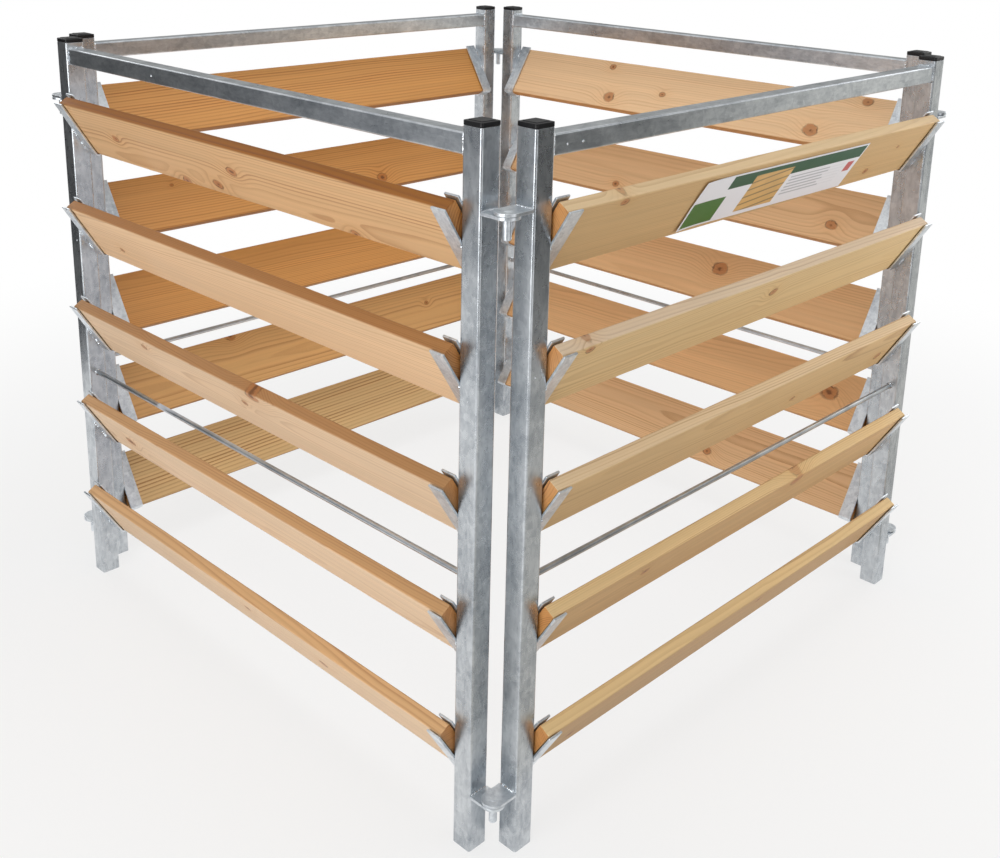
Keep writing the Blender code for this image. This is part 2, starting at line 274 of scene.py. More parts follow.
class Finish:
    """A material or world in the making."""

    def __init__(self, name, library=None):
        if library is None:
            library = bpy.data.materials
        self.result = library.new(name)
        self.result.use_nodes = True
        self.tree = self.result.node_tree
        self.shader = self.tree.nodes.get("Principled BSDF") or self.tree.nodes["Background"]

    def node(self, kind, settings=None, inputs=None, output=0):
        """One output of a new node: its settings first, then the values or links of its sockets."""
        node = self.tree.nodes.new(kind)
        for key, value in (settings or {}).items():
            setattr(node, key, value)
        for key, value in (inputs or {}).items():
            self.feed(node.inputs[key], value)
        return Wire(self, node.outputs[output])

    def feed(self, socket, value):
        """Gives a socket a link or a value."""
        if isinstance(value, Wire):
            self.tree.links.new(value.socket, socket)
        elif socket.type == "RGBA" and len(value) == 3:
            socket.default_value = (*value, 1)
        else:
            socket.default_value = value

    def dress(self, values):
        """Feeds sockets of the shader."""
        for name, value in values.items():
            self.feed(self.shader.inputs[name], value)

    def close(self, surface):
        """Makes a shader's output the surface."""
        end = next(node for node in self.tree.nodes if node.type in ("OUTPUT_MATERIAL", "OUTPUT_WORLD"))
        self.feed(end.inputs[0], surface)

    def give_way(self, share, other):
        """Shows the shader where share is 0 and the other one where it is 1."""
        own = Wire(self, self.shader.outputs[0])
        self.close(self.node("ShaderNodeMixShader", {}, {0: share, 1: own, 2: other}))

    def place(self):
        """Where a point lies in the piece's own frame, in metres."""
        return self.node("ShaderNodeTexCoord", output="Object")

    def facing(self):
        """Which way a point faces in the piece's own frame."""
        return self.node("ShaderNodeTexCoord", output="Normal")

    def mark(self, name, output="Fac"):
        """A value that the mesh holds for each of its points."""
        return self.node("ShaderNodeAttribute", {"attribute_name": name}, output=output)

    def mottle(self, place, scale, detail=3, roughness=0.55, shift=0.0, distortion=0.0):
        """Noise of about -1 to 1; shift takes it somewhere else for each piece."""
        inputs = {"Vector": place, "W": shift, "Scale": scale, "Detail": detail, "Roughness": roughness,
                  "Distortion": distortion}
        return (self.node("ShaderNodeTexNoise", {"noise_dimensions": "4D"}, inputs) - 0.5) * 2.4

    def mix(self, share, first, second):
        """first where share is 0 and second where it is 1, for colours."""
        return self.node("ShaderNodeMix", {"data_type": "RGBA"}, {0: share, 6: first, 7: second}, 2)

    def pair(self, first, second):
        """Two numbers as a vector."""
        return self.node("ShaderNodeCombineXYZ", {}, {0: first, 1: second})

    def bump(self, height, distance, strength=1.0):
        """Relief of that height, in metres."""
        inputs = {"Height": height, "Distance": distance, "Strength": strength}
        self.dress({"Normal": self.node("ShaderNodeBump", {}, inputs)})


# Finishes. Heights of relief and strays of the grain are in metres
PITH_WANDER = 0.0085
RING_WAVER = 0.0009
WOOD_RELIEF = 0.00012
ZINC_RELIEF = 0.00004
PLASTIC_RELIEF = 0.00004
PAPER_RELIEF = 0.0003

# Noise of the wood: spots in a metre across, up and along a board, detail, roughness and a shift of its own
PITH_NOISE = ((7.0, 7.0, 1.5), 2, 0.5, 0.0)
RING_NOISE = ((55.0, 55.0, 7.0), 2, 0.5, 3.1)
FIBRE_NOISE = ((620.0, 620.0, 9.0), 3, 0.6, 5.0)
STREAK_NOISE = ((130.0, 130.0, 2.2), 4, 0.62, 8.0)
PATCH_NOISE = ((11.0, 11.0, 3.0), 3, 0.6, 11.0)
LATE_WOOD_RISE = (0.40, 0.90)  # shares of a year's growth
LATE_WOOD_FALL = (0.93, 1.0)

# Knots, with distances as shares of a knot's radius
KNOT_SLANT = 0.35           # by which a knot climbs for its way through the board
KNOT_SQUEEZE = 0.74         # of distances along the board, which makes knots longer
KNOT_EDGE = (0.76, 1.04)
HEART_EDGE = (0.08, 0.46)
RIM = (0.92, 1.02, 0.13)
RING_PUSH = 1.35            # by which the rings run round a knot
RING_PUSH_FALL = -0.16
KNOT_DENTS = ((70.0, 1.7, 0.52), (300.0, 0.0, 0.13))  # spots in a metre, shift and depth

# Noise of the zinc: spots in a metre, detail, roughness, a shift of its own and distortion
ZINC_CLOUDS = (9.0, 5, 0.60, 0.0, 0.7)
ZINC_MARBLING = (48.0, 4, 0.62, 4.0, 1.6)
ZINC_STREAKS = (240.0, 3, 0.6, 9.0, 0.0)
ZINC_PEEL = (620.0, 2, 0.5, 2.0, 0.0)
ZINC_GLINTS = (330.0, 3, 0.7, 6.0, 0.8)
ZINC_CRYSTALS = 120.0       # in a metre

# Zinc on each kind of steel: stretch of its streaks, roughness, brightness and share of crystals
ZINCS = {
    "tube": ((1.0, 1.0, 0.35), 0.28, 1.0, 1.0),
    "rail": ((0.35, 1.0, 1.0), 0.30, 1.15, 1.0),
    "rod": ((0.2, 0.2, 0.2), 0.30, 1.05, 0.3),
    "strip": ((1.0, 1.0, 1.0), 0.36, 1.30, 1.0),
    "weld": ((1.0, 1.0, 1.0), 0.26, 1.25, 1.0),
}


def dimmed(colour, share):
    return tuple(share * part for part in colour)


def softwood():
    """Planed spruce: growth rings about a pith line, knots that the rings run round, fine fibres."""
    board = bpy.context.scene.bin_boards
    finish = Finish("planed_softwood_boards")
    place = finish.place()
    across, upward, along = place.split()
    seed = finish.mark("seed") * 9.7
    pith_across, pith_up, ring_stretch = finish.mark("pith", "Vector").split()
    lean_across, lean_up, contrast = finish.mark("lean", "Vector").split()

    def grain(spots, detail, roughness, shift):
        return finish.mottle(place * spots, 1.0, detail, roughness, seed + shift)

    # The pith wanders slowly, and the rings waver a little more finely
    wander = grain(*PITH_NOISE) * PITH_WANDER
    waver = grain(*RING_NOISE) * RING_WAVER
    from_pith_across = across - pith_across - lean_across * along
    from_pith_up = upward - pith_up - lean_up * along
    depth = (from_pith_across * from_pith_across + from_pith_up * from_pith_up) ** 0.5
    depth = depth + wander + waver

    # Knots: each mark holds its height, its place along the board and its radius
    knots = 0.0
    hearts = 0.0
    rims = 0.0
    glow = 0.0
    dents = 0.0
    for spots, shift, deep in KNOT_DENTS:
        dents = finish.mottle(place, spots, 2, 0.5, seed + shift) * deep + dents
    for number in range(1, KNOTS_PER_BOARD + 1):
        knot_up, knot_along, radius = finish.mark(f"knot_{number}", "Vector").split()
        away_up = upward - knot_up - across * KNOT_SLANT
        away_along = (along - knot_along) * KNOT_SQUEEZE
        ragged = (away_up * away_up + away_along * away_along) ** 0.5 / radius
        swell = (ragged * ragged * RING_PUSH_FALL).sum("EXPONENT")
        depth = depth + swell * radius * RING_PUSH
        ragged = ragged + dents
        knots = (1 - ragged.fade(*KNOT_EDGE)) + knots
        hearts = (1 - ragged.fade(*HEART_EDGE)) + hearts
        rims = ragged.within(*RIM) + rims
        glow = swell + glow
    knots = knots.sum("MINIMUM", 1.0)

    # Growth rings: the late wood of a year is a thin dark line, strong in some years and patches
    ring = depth / (ring_stretch * board.ring_width)
    year = ring.sum("FLOOR")
    season = ring.sum("FRACT")
    year_noise = finish.node("ShaderNodeTexWhiteNoise", {"noise_dimensions": "2D"},
                             {"Vector": finish.pair(year, seed)})
    strong_year = year_noise ** 1.4 + 0.22
    fibre = grain(*FIBRE_NOISE)
    streak = grain(*STREAK_NOISE)
    patch = grain(*PATCH_NOISE)
    late = season.fade(*LATE_WOOD_RISE) * (1 - season.fade(*LATE_WOOD_FALL)) * strong_year
    late = late * (0.75 + patch * 0.5 + streak * 0.4).sum("MAXIMUM", 0.1)
    flecks = fibre.fade(0.45, 1.0)

    at_end = finish.facing().split()[2].size().fade(0.80, 0.97)
    clear = finish.mark("tone", "Color")
    clear = finish.mix(at_end * 0.75, clear, tuple(board.end_wood))
    clear = clear * (1.0 + streak * 0.13 + patch * 0.08 + fibre * 0.05 - flecks * 0.14)
    clear = finish.mix(patch.fade(0.1, 1.1) * 0.45, clear, clear * (0.99, 0.88, 0.70))
    clear = finish.mix((glow * 0.30).sum("MINIMUM", 0.5), clear, clear * (0.93, 0.78, 0.60))
    line = late * (contrast * 1.18 + at_end * 0.45)
    colour = finish.mix(line, clear, clear * tuple(board.late_wood))
    knot_rings = (ring * 3.1).sum("FRACT").fade(0.2, 0.9)
    knot_colour = finish.mix(knot_rings * 0.4, tuple(board.knot_wood), dimmed(board.knot_wood, 0.55))
    bark = dimmed(board.knot_wood, 0.22)
    half_width = board.width / 2
    on_edge = upward.size().fade(half_width - 0.007, half_width - 0.002)
    colour = finish.mix(knots * (0.70 - on_edge * 0.20), colour, knot_colour)
    colour = finish.mix((hearts * 0.75).sum("MINIMUM", 1.0), colour, bark)
    rims = rims * (0.46 + dents * 2.2 - on_edge * 0.45)
    colour = finish.mix(rims.sum("MINIMUM", 1.0).sum("MAXIMUM", 0.0), colour, bark)
    finish.dress({
        "Base Color": colour,
        "Roughness": 0.60 + fibre * 0.05 - late * 0.08 + knots * -0.12,
        "Specular IOR Level": 0.38,
    })
    rough_end = finish.mottle(place, 900.0, 2, 0.6, seed) * at_end
    finish.bump(late * 0.6 + fibre * 0.35 + knots * 0.5 + rough_end * 1.5, WOOD_RELIEF, 0.8)
    return finish.result


def galvanised(kind):
    """Dipped zinc: dull and bright clouds, a faint crystal pattern, and streaks along the steel."""
    steel = bpy.context.scene.bin_steel
    stretch, roughness, shine, crystal_share = ZINCS[kind]
    finish = Finish(f"galvanised_{kind}_finish")
    place = finish.place()
    drawn_out = place * stretch
    seed = finish.mark("seed") * 7.3

    def pattern(where, spots, detail, rough, shift, distortion):
        return finish.mottle(where, spots, detail, rough, seed + shift, distortion)

    clouds = pattern(place, *ZINC_CLOUDS)
    marbling = pattern(drawn_out, *ZINC_MARBLING)
    streaks = pattern(drawn_out, *ZINC_STREAKS)
    peel = pattern(place, *ZINC_PEEL)
    crystal_cells = finish.node("ShaderNodeTexVoronoi", {"voronoi_dimensions": "4D"},
                                {"Vector": place, "W": seed, "Scale": ZINC_CRYSTALS}, "Color")
    crystals = (crystal_cells.split()[0] - 0.5) * crystal_share
    glints = pattern(drawn_out, *ZINC_GLINTS).fade(0.58, 1.15) * clouds.fade(-0.5, 0.7)
    brightness = clouds * 0.28 + marbling * 0.24 + streaks * 0.16 + crystals * 0.13 + 0.58
    zinc = finish.mix(brightness.fade(0.0, 1.0), tuple(steel.dark_zinc), tuple(steel.light_zinc)) * shine
    zinc = finish.mix(glints * 0.65, zinc, tuple(steel.rubbed_zinc))
    dullness = roughness + clouds * 0.03 + marbling * 0.04 - crystals * 0.02 + peel * 0.01 - glints * 0.05
    finish.dress({"Base Color": zinc, "Metallic": 0.95, "Roughness": dullness})
    finish.bump(peel * 0.4 + streaks * 0.2 + marbling * 0.2 + crystals * 0.05, ZINC_RELIEF, 0.6)
    return finish.result


def cap_plastic():
    """Moulded black plastic with a fine grain and a little dust on top."""
    cap = bpy.context.scene.bin_caps
    finish = Finish("black_moulded_plastic")
    place = finish.place()
    seed = finish.mark("seed")
    grain = finish.mottle(place, 2600.0, 2, 0.5, seed)
    smears = finish.mottle(place, 70.0, 4, 0.65, seed + 5.0)
    up = finish.facing().split()[2].fade(0.6, 0.95)
    dusty = up * (0.03 + smears * 0.04)
    dust = (0.15, 0.15, 0.15)
    finish.dress({
        "Base Color": finish.mix(dusty, tuple(cap.plastic), dust),
        "Roughness": 0.34 + up * 0.12 + smears * 0.06 + grain * 0.03,
        "Specular IOR Level": 0.35,
    })
    finish.bump(grain * 0.5 + smears * 0.2, PLASTIC_RELIEF, 0.6)
    return finish.result


# What is printed on the sheet: left, right, foot and top, as shares of its length and height
GREEN_BAND = (0.160, 0.992, 0.70, 0.96)
GREEN_BLOCK = (0.010, 0.182, 0.04, 0.54)
TIMBER_FIELD = (0.300, 0.525, 0.09, 0.86)
RULED_FIELD = (0.550, 0.905, 0.18, 0.62)
RED_SQUARE = (0.930, 0.975, 0.40, 0.62)
PRINT_EDGE = 0.0003         # width over which a colour gives way to the next
BARS_PER_METRE = 155.0


def printed_paper():
    """Plain sheet with a green band and block, a timber-coloured field, a red square and ruled grey bars."""
    sheet = bpy.context.scene.bin_sheet
    finish = Finish("printed_paper")
    place = finish.place()
    along, upward, _ = place.split()

    def inside(field):
        left, right, foot, top = field
        across = along.within((left - 0.5) * sheet.length, (right - 0.5) * sheet.length, PRINT_EDGE)
        return across * upward.within((foot - 0.5) * sheet.height, (top - 0.5) * sheet.height, PRINT_EDGE)

    bar_place = upward * BARS_PER_METRE
    bars = bar_place.sum("FRACT").within(0.30, 0.62, 0.10)
    ragged = finish.mottle(finish.pair(along * 30.0, bar_place.sum("FLOOR")), 1.0, 1, 0.5)
    bars = bars * (1 - (along + ragged * 0.03).fade(0.120, 0.121) * 0.85)
    planks = (upward * 74.0 - along * 9.0).sum("FRACT")
    plank_lines = 1 - planks.within(0.16, 0.86, 0.08)
    timber = finish.mix(plank_lines * 0.7, linear(212, 170, 104), linear(108, 92, 62))
    timber = timber * (1.0 + finish.mottle(place * (26.0, 18.0, 1.0), 1.0, 2, 0.5) * 0.18)
    colour = finish.mix(inside(RULED_FIELD) * bars * 0.8, tuple(sheet.paper), tuple(sheet.grey))
    colour = finish.mix(inside(GREEN_BAND), colour, tuple(sheet.green))
    colour = finish.mix(inside(GREEN_BLOCK), colour, tuple(sheet.leaf))
    colour = finish.mix(inside(TIMBER_FIELD), colour, timber)
    colour = finish.mix(inside(RED_SQUARE) * 0.9, colour, tuple(sheet.red))
    smudge = finish.mottle(place, 18.0, 4, 0.6)
    finish.dress({"Base Color": colour * (1.0 + smudge * 0.03), "Roughness": 0.42 + smudge * 0.06})
    finish.bump(finish.mottle(place, 60.0, 3, 0.6), PAPER_RELIEF, 0.35)
    return finish.result


# Shape tools

def arc(centre_x, centre_y, radius, start, end, steps):
    """Points along an arc, angles in radians, both ends included."""
    points = []
    for step in range(steps + 1):
        angle = start + (end - start) * step / steps
        points.append((centre_x + radius * math.cos(angle), centre_y + radius * math.sin(angle)))
    return points


def circle(radius, steps):
    return arc(0, 0, radius, 0, 2 * math.pi, steps)[:-1]


def rounded_square(width, radius):
    """Outline of a square with round corners, about the origin."""
    inset = width / 2 - radius
    points = []
    for quarter, (side_x, side_y) in enumerate(((1, 1), (-1, 1), (-1, -1), (1, -1))):
        start = quarter * QUARTER_TURN
        points += arc(side_x * inset, side_y * inset, radius, start, start + QUARTER_TURN, CORNER_STEPS)
    return points


def raised(outline, height):
    return [Vector((x, y, height)) for x, y in outline]


def moved(rings, matrix):
    return [[matrix @ Vector(point) for point in ring] for ring in rings]


def skin(bm, rings, joined=False):
    """Faces from each ring of points to the next. The end rings are closed, or joined to each other."""
    rows = [[bm.verts.new(point) for point in ring] for ring in rings]
    pairs = list(zip(rows, rows[1:]))
    if joined:
        pairs.append((rows[-1], rows[0]))
    for low, high in pairs:
        for index in range(len(low)):
            after = (index + 1) % len(low)
            bm.faces.new((low[index], low[after], high[after], high[index]))
    if not joined:
        bm.faces.new(reversed(rows[0]))
        bm.faces.new(rows[-1])


def eased_rings(outline_at, low, high, edge):
    """Rings from low to high with rounded rims; outline_at gives the outline for an inset."""
    rings = []
    for step in range(EDGE_STEPS + 1):
        angle = QUARTER_TURN * step / EDGE_STEPS
        rings.append((edge * (1 - math.sin(angle)), low + edge * (1 - math.cos(angle))))
    for step in range(EDGE_STEPS + 1):
        angle = QUARTER_TURN * (EDGE_STEPS - step) / EDGE_STEPS
        rings.append((edge * (1 - math.sin(angle)), high - edge * (1 - math.cos(angle))))
    return [raised(outline_at(inset), height) for inset, height in rings]


def tube_rings(width, wall, corner, low, high, edge):
    """Rings round the wall of a square tube from low to high, in a loop."""
    bore = width - 2 * wall
    round_bore = corner - wall / 2
    outside = eased_rings(lambda inset: rounded_square(width - 2 * inset, corner - inset), low, high, edge)
    inside = eased_rings(lambda inset: rounded_square(bore + 2 * inset, round_bore + inset), low, high, edge)
    return outside + inside[::-1]


def shell(rings, place, joined=False):
    """A mesh in the making that holds one skin."""
    bm = bmesh.new()
    skin(bm, moved(rings, place), joined)
    return bm


def set_mark(mesh, name, value, kind="FLOAT"):
    """Gives every point of a mesh the same value, for the shader to read."""
    attribute = mesh.attributes.new(name, kind, "POINT")
    parts = value if hasattr(value, "__len__") else (value,)
    key = "value" if kind == "FLOAT" else "vector"
    attribute.data.foreach_set(key, list(parts) * len(mesh.vertices))


def add_piece(name, bm, material, body, place=None, nodes=(), seed=0.0, even=True):
    """One piece of the bin from a mesh in the making."""
    bmesh.ops.recalc_face_normals(bm, faces=bm.faces)
    mesh = bpy.data.meshes.new(name)
    bm.to_mesh(mesh)
    bm.free()
    if not mesh.vertices:
        raise RuntimeError(f"{name} has no points")
    mesh.shade_smooth()
    mesh.set_sharp_from_angle(angle=SHARP_ANGLE)
    mesh.materials.append(material)
    set_mark(mesh, "seed", seed)
    item = bpy.data.objects.new(name, mesh)
    item.matrix_world = place or Matrix()
    BIN.objects.link(item)
    if even:
        item.modifiers.new("even_shading", "WEIGHTED_NORMAL").keep_sharp = True
    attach(item, body)
    if nodes:
        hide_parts(*nodes)
    return item


def panel_turn(panel):
    return Matrix.Rotation(PANELS.index(panel) * QUARTER_TURN, 4, "Z")


def add_to_panel(panel, name, bm, material, node="", seed=0, even=True):
    """One piece of a panel's frame, drawn as for the front panel."""
    nodes = (f"{panel}_{node}",) if node else ()
    add_piece(f"{panel}_{name}", bm, material, f"{panel}_panel", panel_turn(panel), nodes, seed, even)


def post_number(panel, side):
    """A start for the look of each post."""
    return PANELS.index(panel) * 2 + side


def post_middle(side):
    """Where a post's middle lies along its panel; side is -1 at the pin end, +1 at the eye end."""
    steel = bpy.context.scene.bin_steel
    return side * (HALF_SPAN - HINGE_REACH - steel.post_width / 2)


def post_inner_side():
    """How far from the panel's middle the inner sides of its posts lie."""
    return HALF_SPAN - HINGE_REACH - bpy.context.scene.bin_steel.post_width


def rail_height():
    """Height of the top rail's middle."""
    steel = bpy.context.scene.bin_steel
    return steel.post_height - steel.rail_drop - steel.rail_width / 2


def board_frame(row, along=0.0):
    """Frame of a board: X across its thickness, Y up its width, Z along the panel. Row 1 is the lowest."""
    tilt = bpy.context.scene.bin_boards.tilt
    up_width = Vector((0, -math.sin(tilt), math.cos(tilt)))
    along_panel = Vector((1, 0, 0))
    across = up_width.cross(along_panel)
    turn = Matrix((across, up_width, along_panel)).transposed().to_4x4()
    height = LOWEST_BOARD_HEIGHT + (row - 1) * BOARD_PITCH
    return Matrix.Translation((along, -HALF_SPAN - BOARD_OFFSET, height)) @ turn


ENDS = (("pin", -1), ("eye", 1))


# Operators

class COMPOST_OT_posts(bpy.types.Operator):
    """Build the eight square posts"""
    bl_idname = "compost.posts"
    bl_label = "Posts"

    def execute(self, context):
        steel = context.scene.bin_steel
        zinc = galvanised("tube")
        rings = tube_rings(steel.post_width, steel.wall, steel.post_corner, 0, steel.post_height, TUBE_EDGE)
        for panel in PANELS:
            for end, side in ENDS:
                bm = shell(rings, Matrix.Translation((post_middle(side), -HALF_SPAN, 0)), joined=True)
                add_to_panel(panel, f"{end}_post_tube", bm, zinc, f"{end}_post",
                             seed=post_number(panel, side))
        return {"FINISHED"}


TIP_ARC_STEPS = 3
OUTER_BEND_STEPS = 10
INNER_BEND_STEPS = 8
TIP_ROOM = 2.01             # of the strip's thickness to its tips' radius, at least


def holder_outline(inset):
    """A U seen from its side, about the middle of its board, with round tips and edges drawn in by inset."""
    board = bpy.context.scene.bin_boards
    steel = bpy.context.scene.bin_steel
    half_gap = board.thickness / 2 + steel.play + inset
    half_width = board.thickness / 2 + steel.play + steel.strip_thickness - inset
    top = board.width / 2 + steel.flange_rise - inset
    web = -board.width / 2 - TOUCH_GAP
    inner_x = board.thickness / 2 + steel.play - steel.bend
    inner_y = web + steel.bend
    outer_radius = steel.bend + steel.strip_thickness - inset
    inner_radius = steel.bend + inset
    tip = min(STRIP_TIP, (half_width - half_gap) / TIP_ROOM)
    outside = arc(-half_width + tip, top - tip, tip, QUARTER_TURN, math.pi, TIP_ARC_STEPS)
    outside += arc(-inner_x, inner_y, outer_radius, math.pi, 1.5 * math.pi, OUTER_BEND_STEPS)
    outside += arc(inner_x, inner_y, outer_radius, 1.5 * math.pi, 2 * math.pi, OUTER_BEND_STEPS)
    outside += arc(half_width - tip, top - tip, tip, 0, QUARTER_TURN, TIP_ARC_STEPS)
    inside = arc(half_gap + tip, top - tip, tip, QUARTER_TURN, math.pi, TIP_ARC_STEPS)
    inside += arc(inner_x, inner_y, inner_radius, 0, -QUARTER_TURN, INNER_BEND_STEPS)
    inside += arc(-inner_x, inner_y, inner_radius, -QUARTER_TURN, -math.pi, INNER_BEND_STEPS)
    inside += arc(-half_gap - tip, top - tip, tip, 0, QUARTER_TURN, TIP_ARC_STEPS)
    return outside + inside


class COMPOST_OT_holders(bpy.types.Operator):
    """Build the bent holders that carry the boards"""
    bl_idname = "compost.holders"
    bl_label = "Holders"

    def execute(self, context):
        steel = context.scene.bin_steel
        zinc = galvanised("strip")
        length = steel.strip_width + steel.weld_depth
        rings = eased_rings(holder_outline, -length / 2, length / 2, STRIP_EDGE)
        for panel in PANELS:
            for end, side in ENDS:
                bm = bmesh.new()
                middle = side * (post_inner_side() + steel.weld_depth - length / 2)
                for row in range(1, BOARD_ROWS + 1):
                    skin(bm, moved(rings, board_frame(row, middle)))
                add_to_panel(panel, f"{end}_post_holders", bm, zinc,
                             seed=post_number(panel, side) + 20)
        return {"FINISHED"}


class COMPOST_OT_rails(bpy.types.Operator):
    """Build the top rails and the tie rods"""
    bl_idname = "compost.rails"
    bl_label = "Rails and Rods"

    def execute(self, context):
        steel = context.scene.bin_steel
        rail = galvanised("rail")
        rod = galvanised("rod")
        half = post_inner_side() - TOUCH_GAP
        along_panel = Matrix.Rotation(QUARTER_TURN, 4, "Y")
        rail_place = Matrix.Translation((0, -HALF_SPAN, rail_height())) @ along_panel
        rail_rings = tube_rings(steel.rail_width, steel.wall, steel.rail_corner, -half, half, CUT_EDGE)
        rod_place = Matrix.Translation((0, -HALF_SPAN, ROD_HEIGHT)) @ along_panel
        rod_rings = eased_rings(lambda inset: circle(steel.rod_diameter / 2 - inset, ROUND_STEPS),
                                -half, half, CUT_EDGE)
        for seed, panel in enumerate(PANELS):
            add_to_panel(panel, "rail", shell(rail_rings, rail_place, joined=True), rail,
                         "top_rail", seed + 40)
            add_to_panel(panel, "rod", shell(rod_rings, rod_place), rod,
                         "tie_rod", seed + 50)
        return {"FINISHED"}


PLATE_END_CUTS = 6
PLATE_SIDE_CUTS = 8
PIN_FOOT_RISE = 0.0005      # from a pin's foot to the middle of its chamfer
PIN_HEAD_EDGE = 0.0003


def plate_outline(inset):
    """A hinge plate about the hinge axis, its square end towards the post at +X."""
    half = bpy.context.scene.bin_steel.post_width / 2 - inset
    end = HINGE_REACH - TOUCH_GAP
    points = [(end, -half + 2 * half * step / PLATE_END_CUTS) for step in range(PLATE_END_CUTS + 1)]
    points += [(end * (1 - step / PLATE_SIDE_CUTS), half) for step in range(1, PLATE_SIDE_CUTS)]
    points += arc(0, 0, half, QUARTER_TURN, 3 * QUARTER_TURN, TIP_STEPS)
    points += [(end * step / PLATE_SIDE_CUTS, -half) for step in range(1, PLATE_SIDE_CUTS)]
    return points


def eye_outline(radius):
    """Round hole with one point facing each point of the plate's outline."""
    angles = [math.atan2(y, x) for x, y in plate_outline(0)]
    return [(radius * math.cos(angle), radius * math.sin(angle)) for angle in angles]


class COMPOST_OT_hinges(bpy.types.Operator):
    """Build the hinge plates with their drop pins and eyes"""
    bl_idname = "compost.hinges"
    bl_label = "Hinges"

    def execute(self, context):
        hinge = context.scene.bin_hinges
        zinc = galvanised("strip")
        half = hinge.plate_thickness / 2
        plate = eased_rings(plate_outline, -half, half, hinge.plate_edge)
        eye_radius = hinge.pin_diameter / 2 + hinge.eye_play
        eye = eased_rings(lambda inset: eye_outline(eye_radius + inset), -half, half, hinge.plate_edge)
        radius = hinge.pin_diameter / 2
        head = half + hinge.pin_head
        foot = -half - hinge.pin_drop
        profile = (
            (radius - hinge.pin_chamfer, foot),
            (radius - 0.4 * hinge.pin_chamfer, foot + PIN_FOOT_RISE),
            (radius, foot + hinge.pin_chamfer),
            (radius, head - PIN_HEAD_EDGE),
            (radius - PIN_HEAD_EDGE, head),
        )
        pin = [raised(circle(size, ROUND_STEPS), height) for size, height in profile]
        half_turn = Matrix.Rotation(math.pi, 4, "Z")
        for turns, panel in enumerate(PANELS):
            for number, (level, top) in enumerate(HINGE_LEVELS):
                height = top - half
                seed = turns * 4 + number + 60
                middle = Matrix.Translation((-HALF_SPAN, -HALF_SPAN, height))
                bm = shell(plate, middle)
                skin(bm, moved(pin, middle))
                add_to_panel(panel, f"{level}_pin_plate", bm, zinc,
                             f"{level}_hinge_pin", seed)
                height -= hinge.plate_thickness + TOUCH_GAP
                middle = Matrix.Translation((HALF_SPAN, -HALF_SPAN, height)) @ half_turn
                bm = shell(plate + eye[::-1], middle, joined=True)
                add_to_panel(panel, f"{level}_eye_plate", bm, zinc,
                             f"{level}_hinge_eye", seed + 2)
        return {"FINISHED"}


# Weld beads: shares of a bead's radius, turns in radians, and the rings over which its ends taper
RIPPLE_FOOT = 0.72
RIPPLE_SWELL = 0.38
RIPPLE_TURN = 0.95
RIPPLE_STRAY = 0.5
SIZE_STRAY = 0.3
PATH_STRAY = 0.12
TAPER_RINGS = 2.5
TAPER_END = 0.25
HOLDER_BEAD_SHARE = 1.2
HINGE_BEAD_SHARE = 1.1


def lumpy_bead(bm, points, radius, chance, closed=False):
    """A weld bead along points: overlapping ripples of uneven size, drawn as rings across its path."""
    total = len(points)
    rings = []
    for index, point in enumerate(points):
        before = points[(index - 1) % total] if closed or index else point
        after = points[(index + 1) % total] if closed or index < total - 1 else point
        forward = (after - before).normalized()
        side = forward.orthogonal().normalized()
        other = forward.cross(side)
        ripple = abs(math.sin(index * RIPPLE_TURN + chance.random() * RIPPLE_STRAY))
        size = radius * (RIPPLE_FOOT + RIPPLE_SWELL * ripple)
        size *= 1 + SIZE_STRAY * (chance.random() - 0.5)
        if not closed:
            from_end = min(index, total - 1 - index)
            size *= max(TAPER_END, min(1.0, (from_end + 0.6) / TAPER_RINGS))
        shift = Vector([chance.uniform(-1, 1) for _ in range(3)]) * radius * PATH_STRAY
        ring = []
        for step in range(BEAD_STEPS):
            angle = 2 * math.pi * step / BEAD_STEPS
            ring.append(point + shift + (side * math.cos(angle) + other * math.sin(angle)) * size)
        rings.append(ring)
    skin(bm, rings, joined=closed)


def line_points(start, end):
    """Evenly spaced points from start to end."""
    count = max(3, round((end - start).length / BEAD_STEP))
    return [start.lerp(end, index / count) for index in range(count + 1)]


def loop_points(outline):
    """Evenly spaced points along a closed outline of vectors."""
    points = []
    for first, second in zip(outline, outline[1:] + outline[:1]):
        count = max(1, round((second - first).length / BEAD_STEP))
        points += [first.lerp(second, index / count) for index in range(count)]
    return points


# Frozen drops: shares of their radius, and strays and radii in metres
DROP_STRETCH = (0.9, 1.4)
DROP_DEPTH = 0.6
RIGHT_RAIL_DROPS = (-0.421, -0.395)
RAIL_DROP_REACH = 0.4       # from the rail's middle to the furthest drop
RAIL_DROP_STRAY = 0.003
RAIL_DROP_RADII = (0.0013, 0.0018)
POST_DROP_HEIGHTS = (0.62, 0.31, 0.045)
POST_DROP_STRAY = (0.009, 0.02)  # across and up the post
POST_DROP_RADII = (0.0008, 0.0014)


def add_drop(bm, point, radius, chance):
    """A frozen drop of zinc on a panel's outer face, flattened."""
    turn = Vector((0, -1, 0)).to_track_quat("Z", "Y").to_matrix().to_4x4()
    stretch = Matrix.Diagonal((radius, radius * chance.uniform(*DROP_STRETCH), radius * DROP_DEPTH, 1))
    bmesh.ops.create_icosphere(bm, subdivisions=3, radius=1.0,
                               matrix=Matrix.Translation(point) @ turn @ stretch)


# Runs of bead beside each holder: its side, and from where to where up it, in metres
HOLDER_BEADS = ((-1, -0.040, -0.026), (-1, -0.012, 0.001), (1, -0.008, 0.005), (1, 0.027, 0.041))
BEAD_SLIP = 0.002           # by which a run lies higher or lower than the next
HINGE_BEAD_INSET = 0.0025   # of a run's ends from the plate's sides
FLANGE_CLEARANCE = 0.0002   # of a run's path off its holder


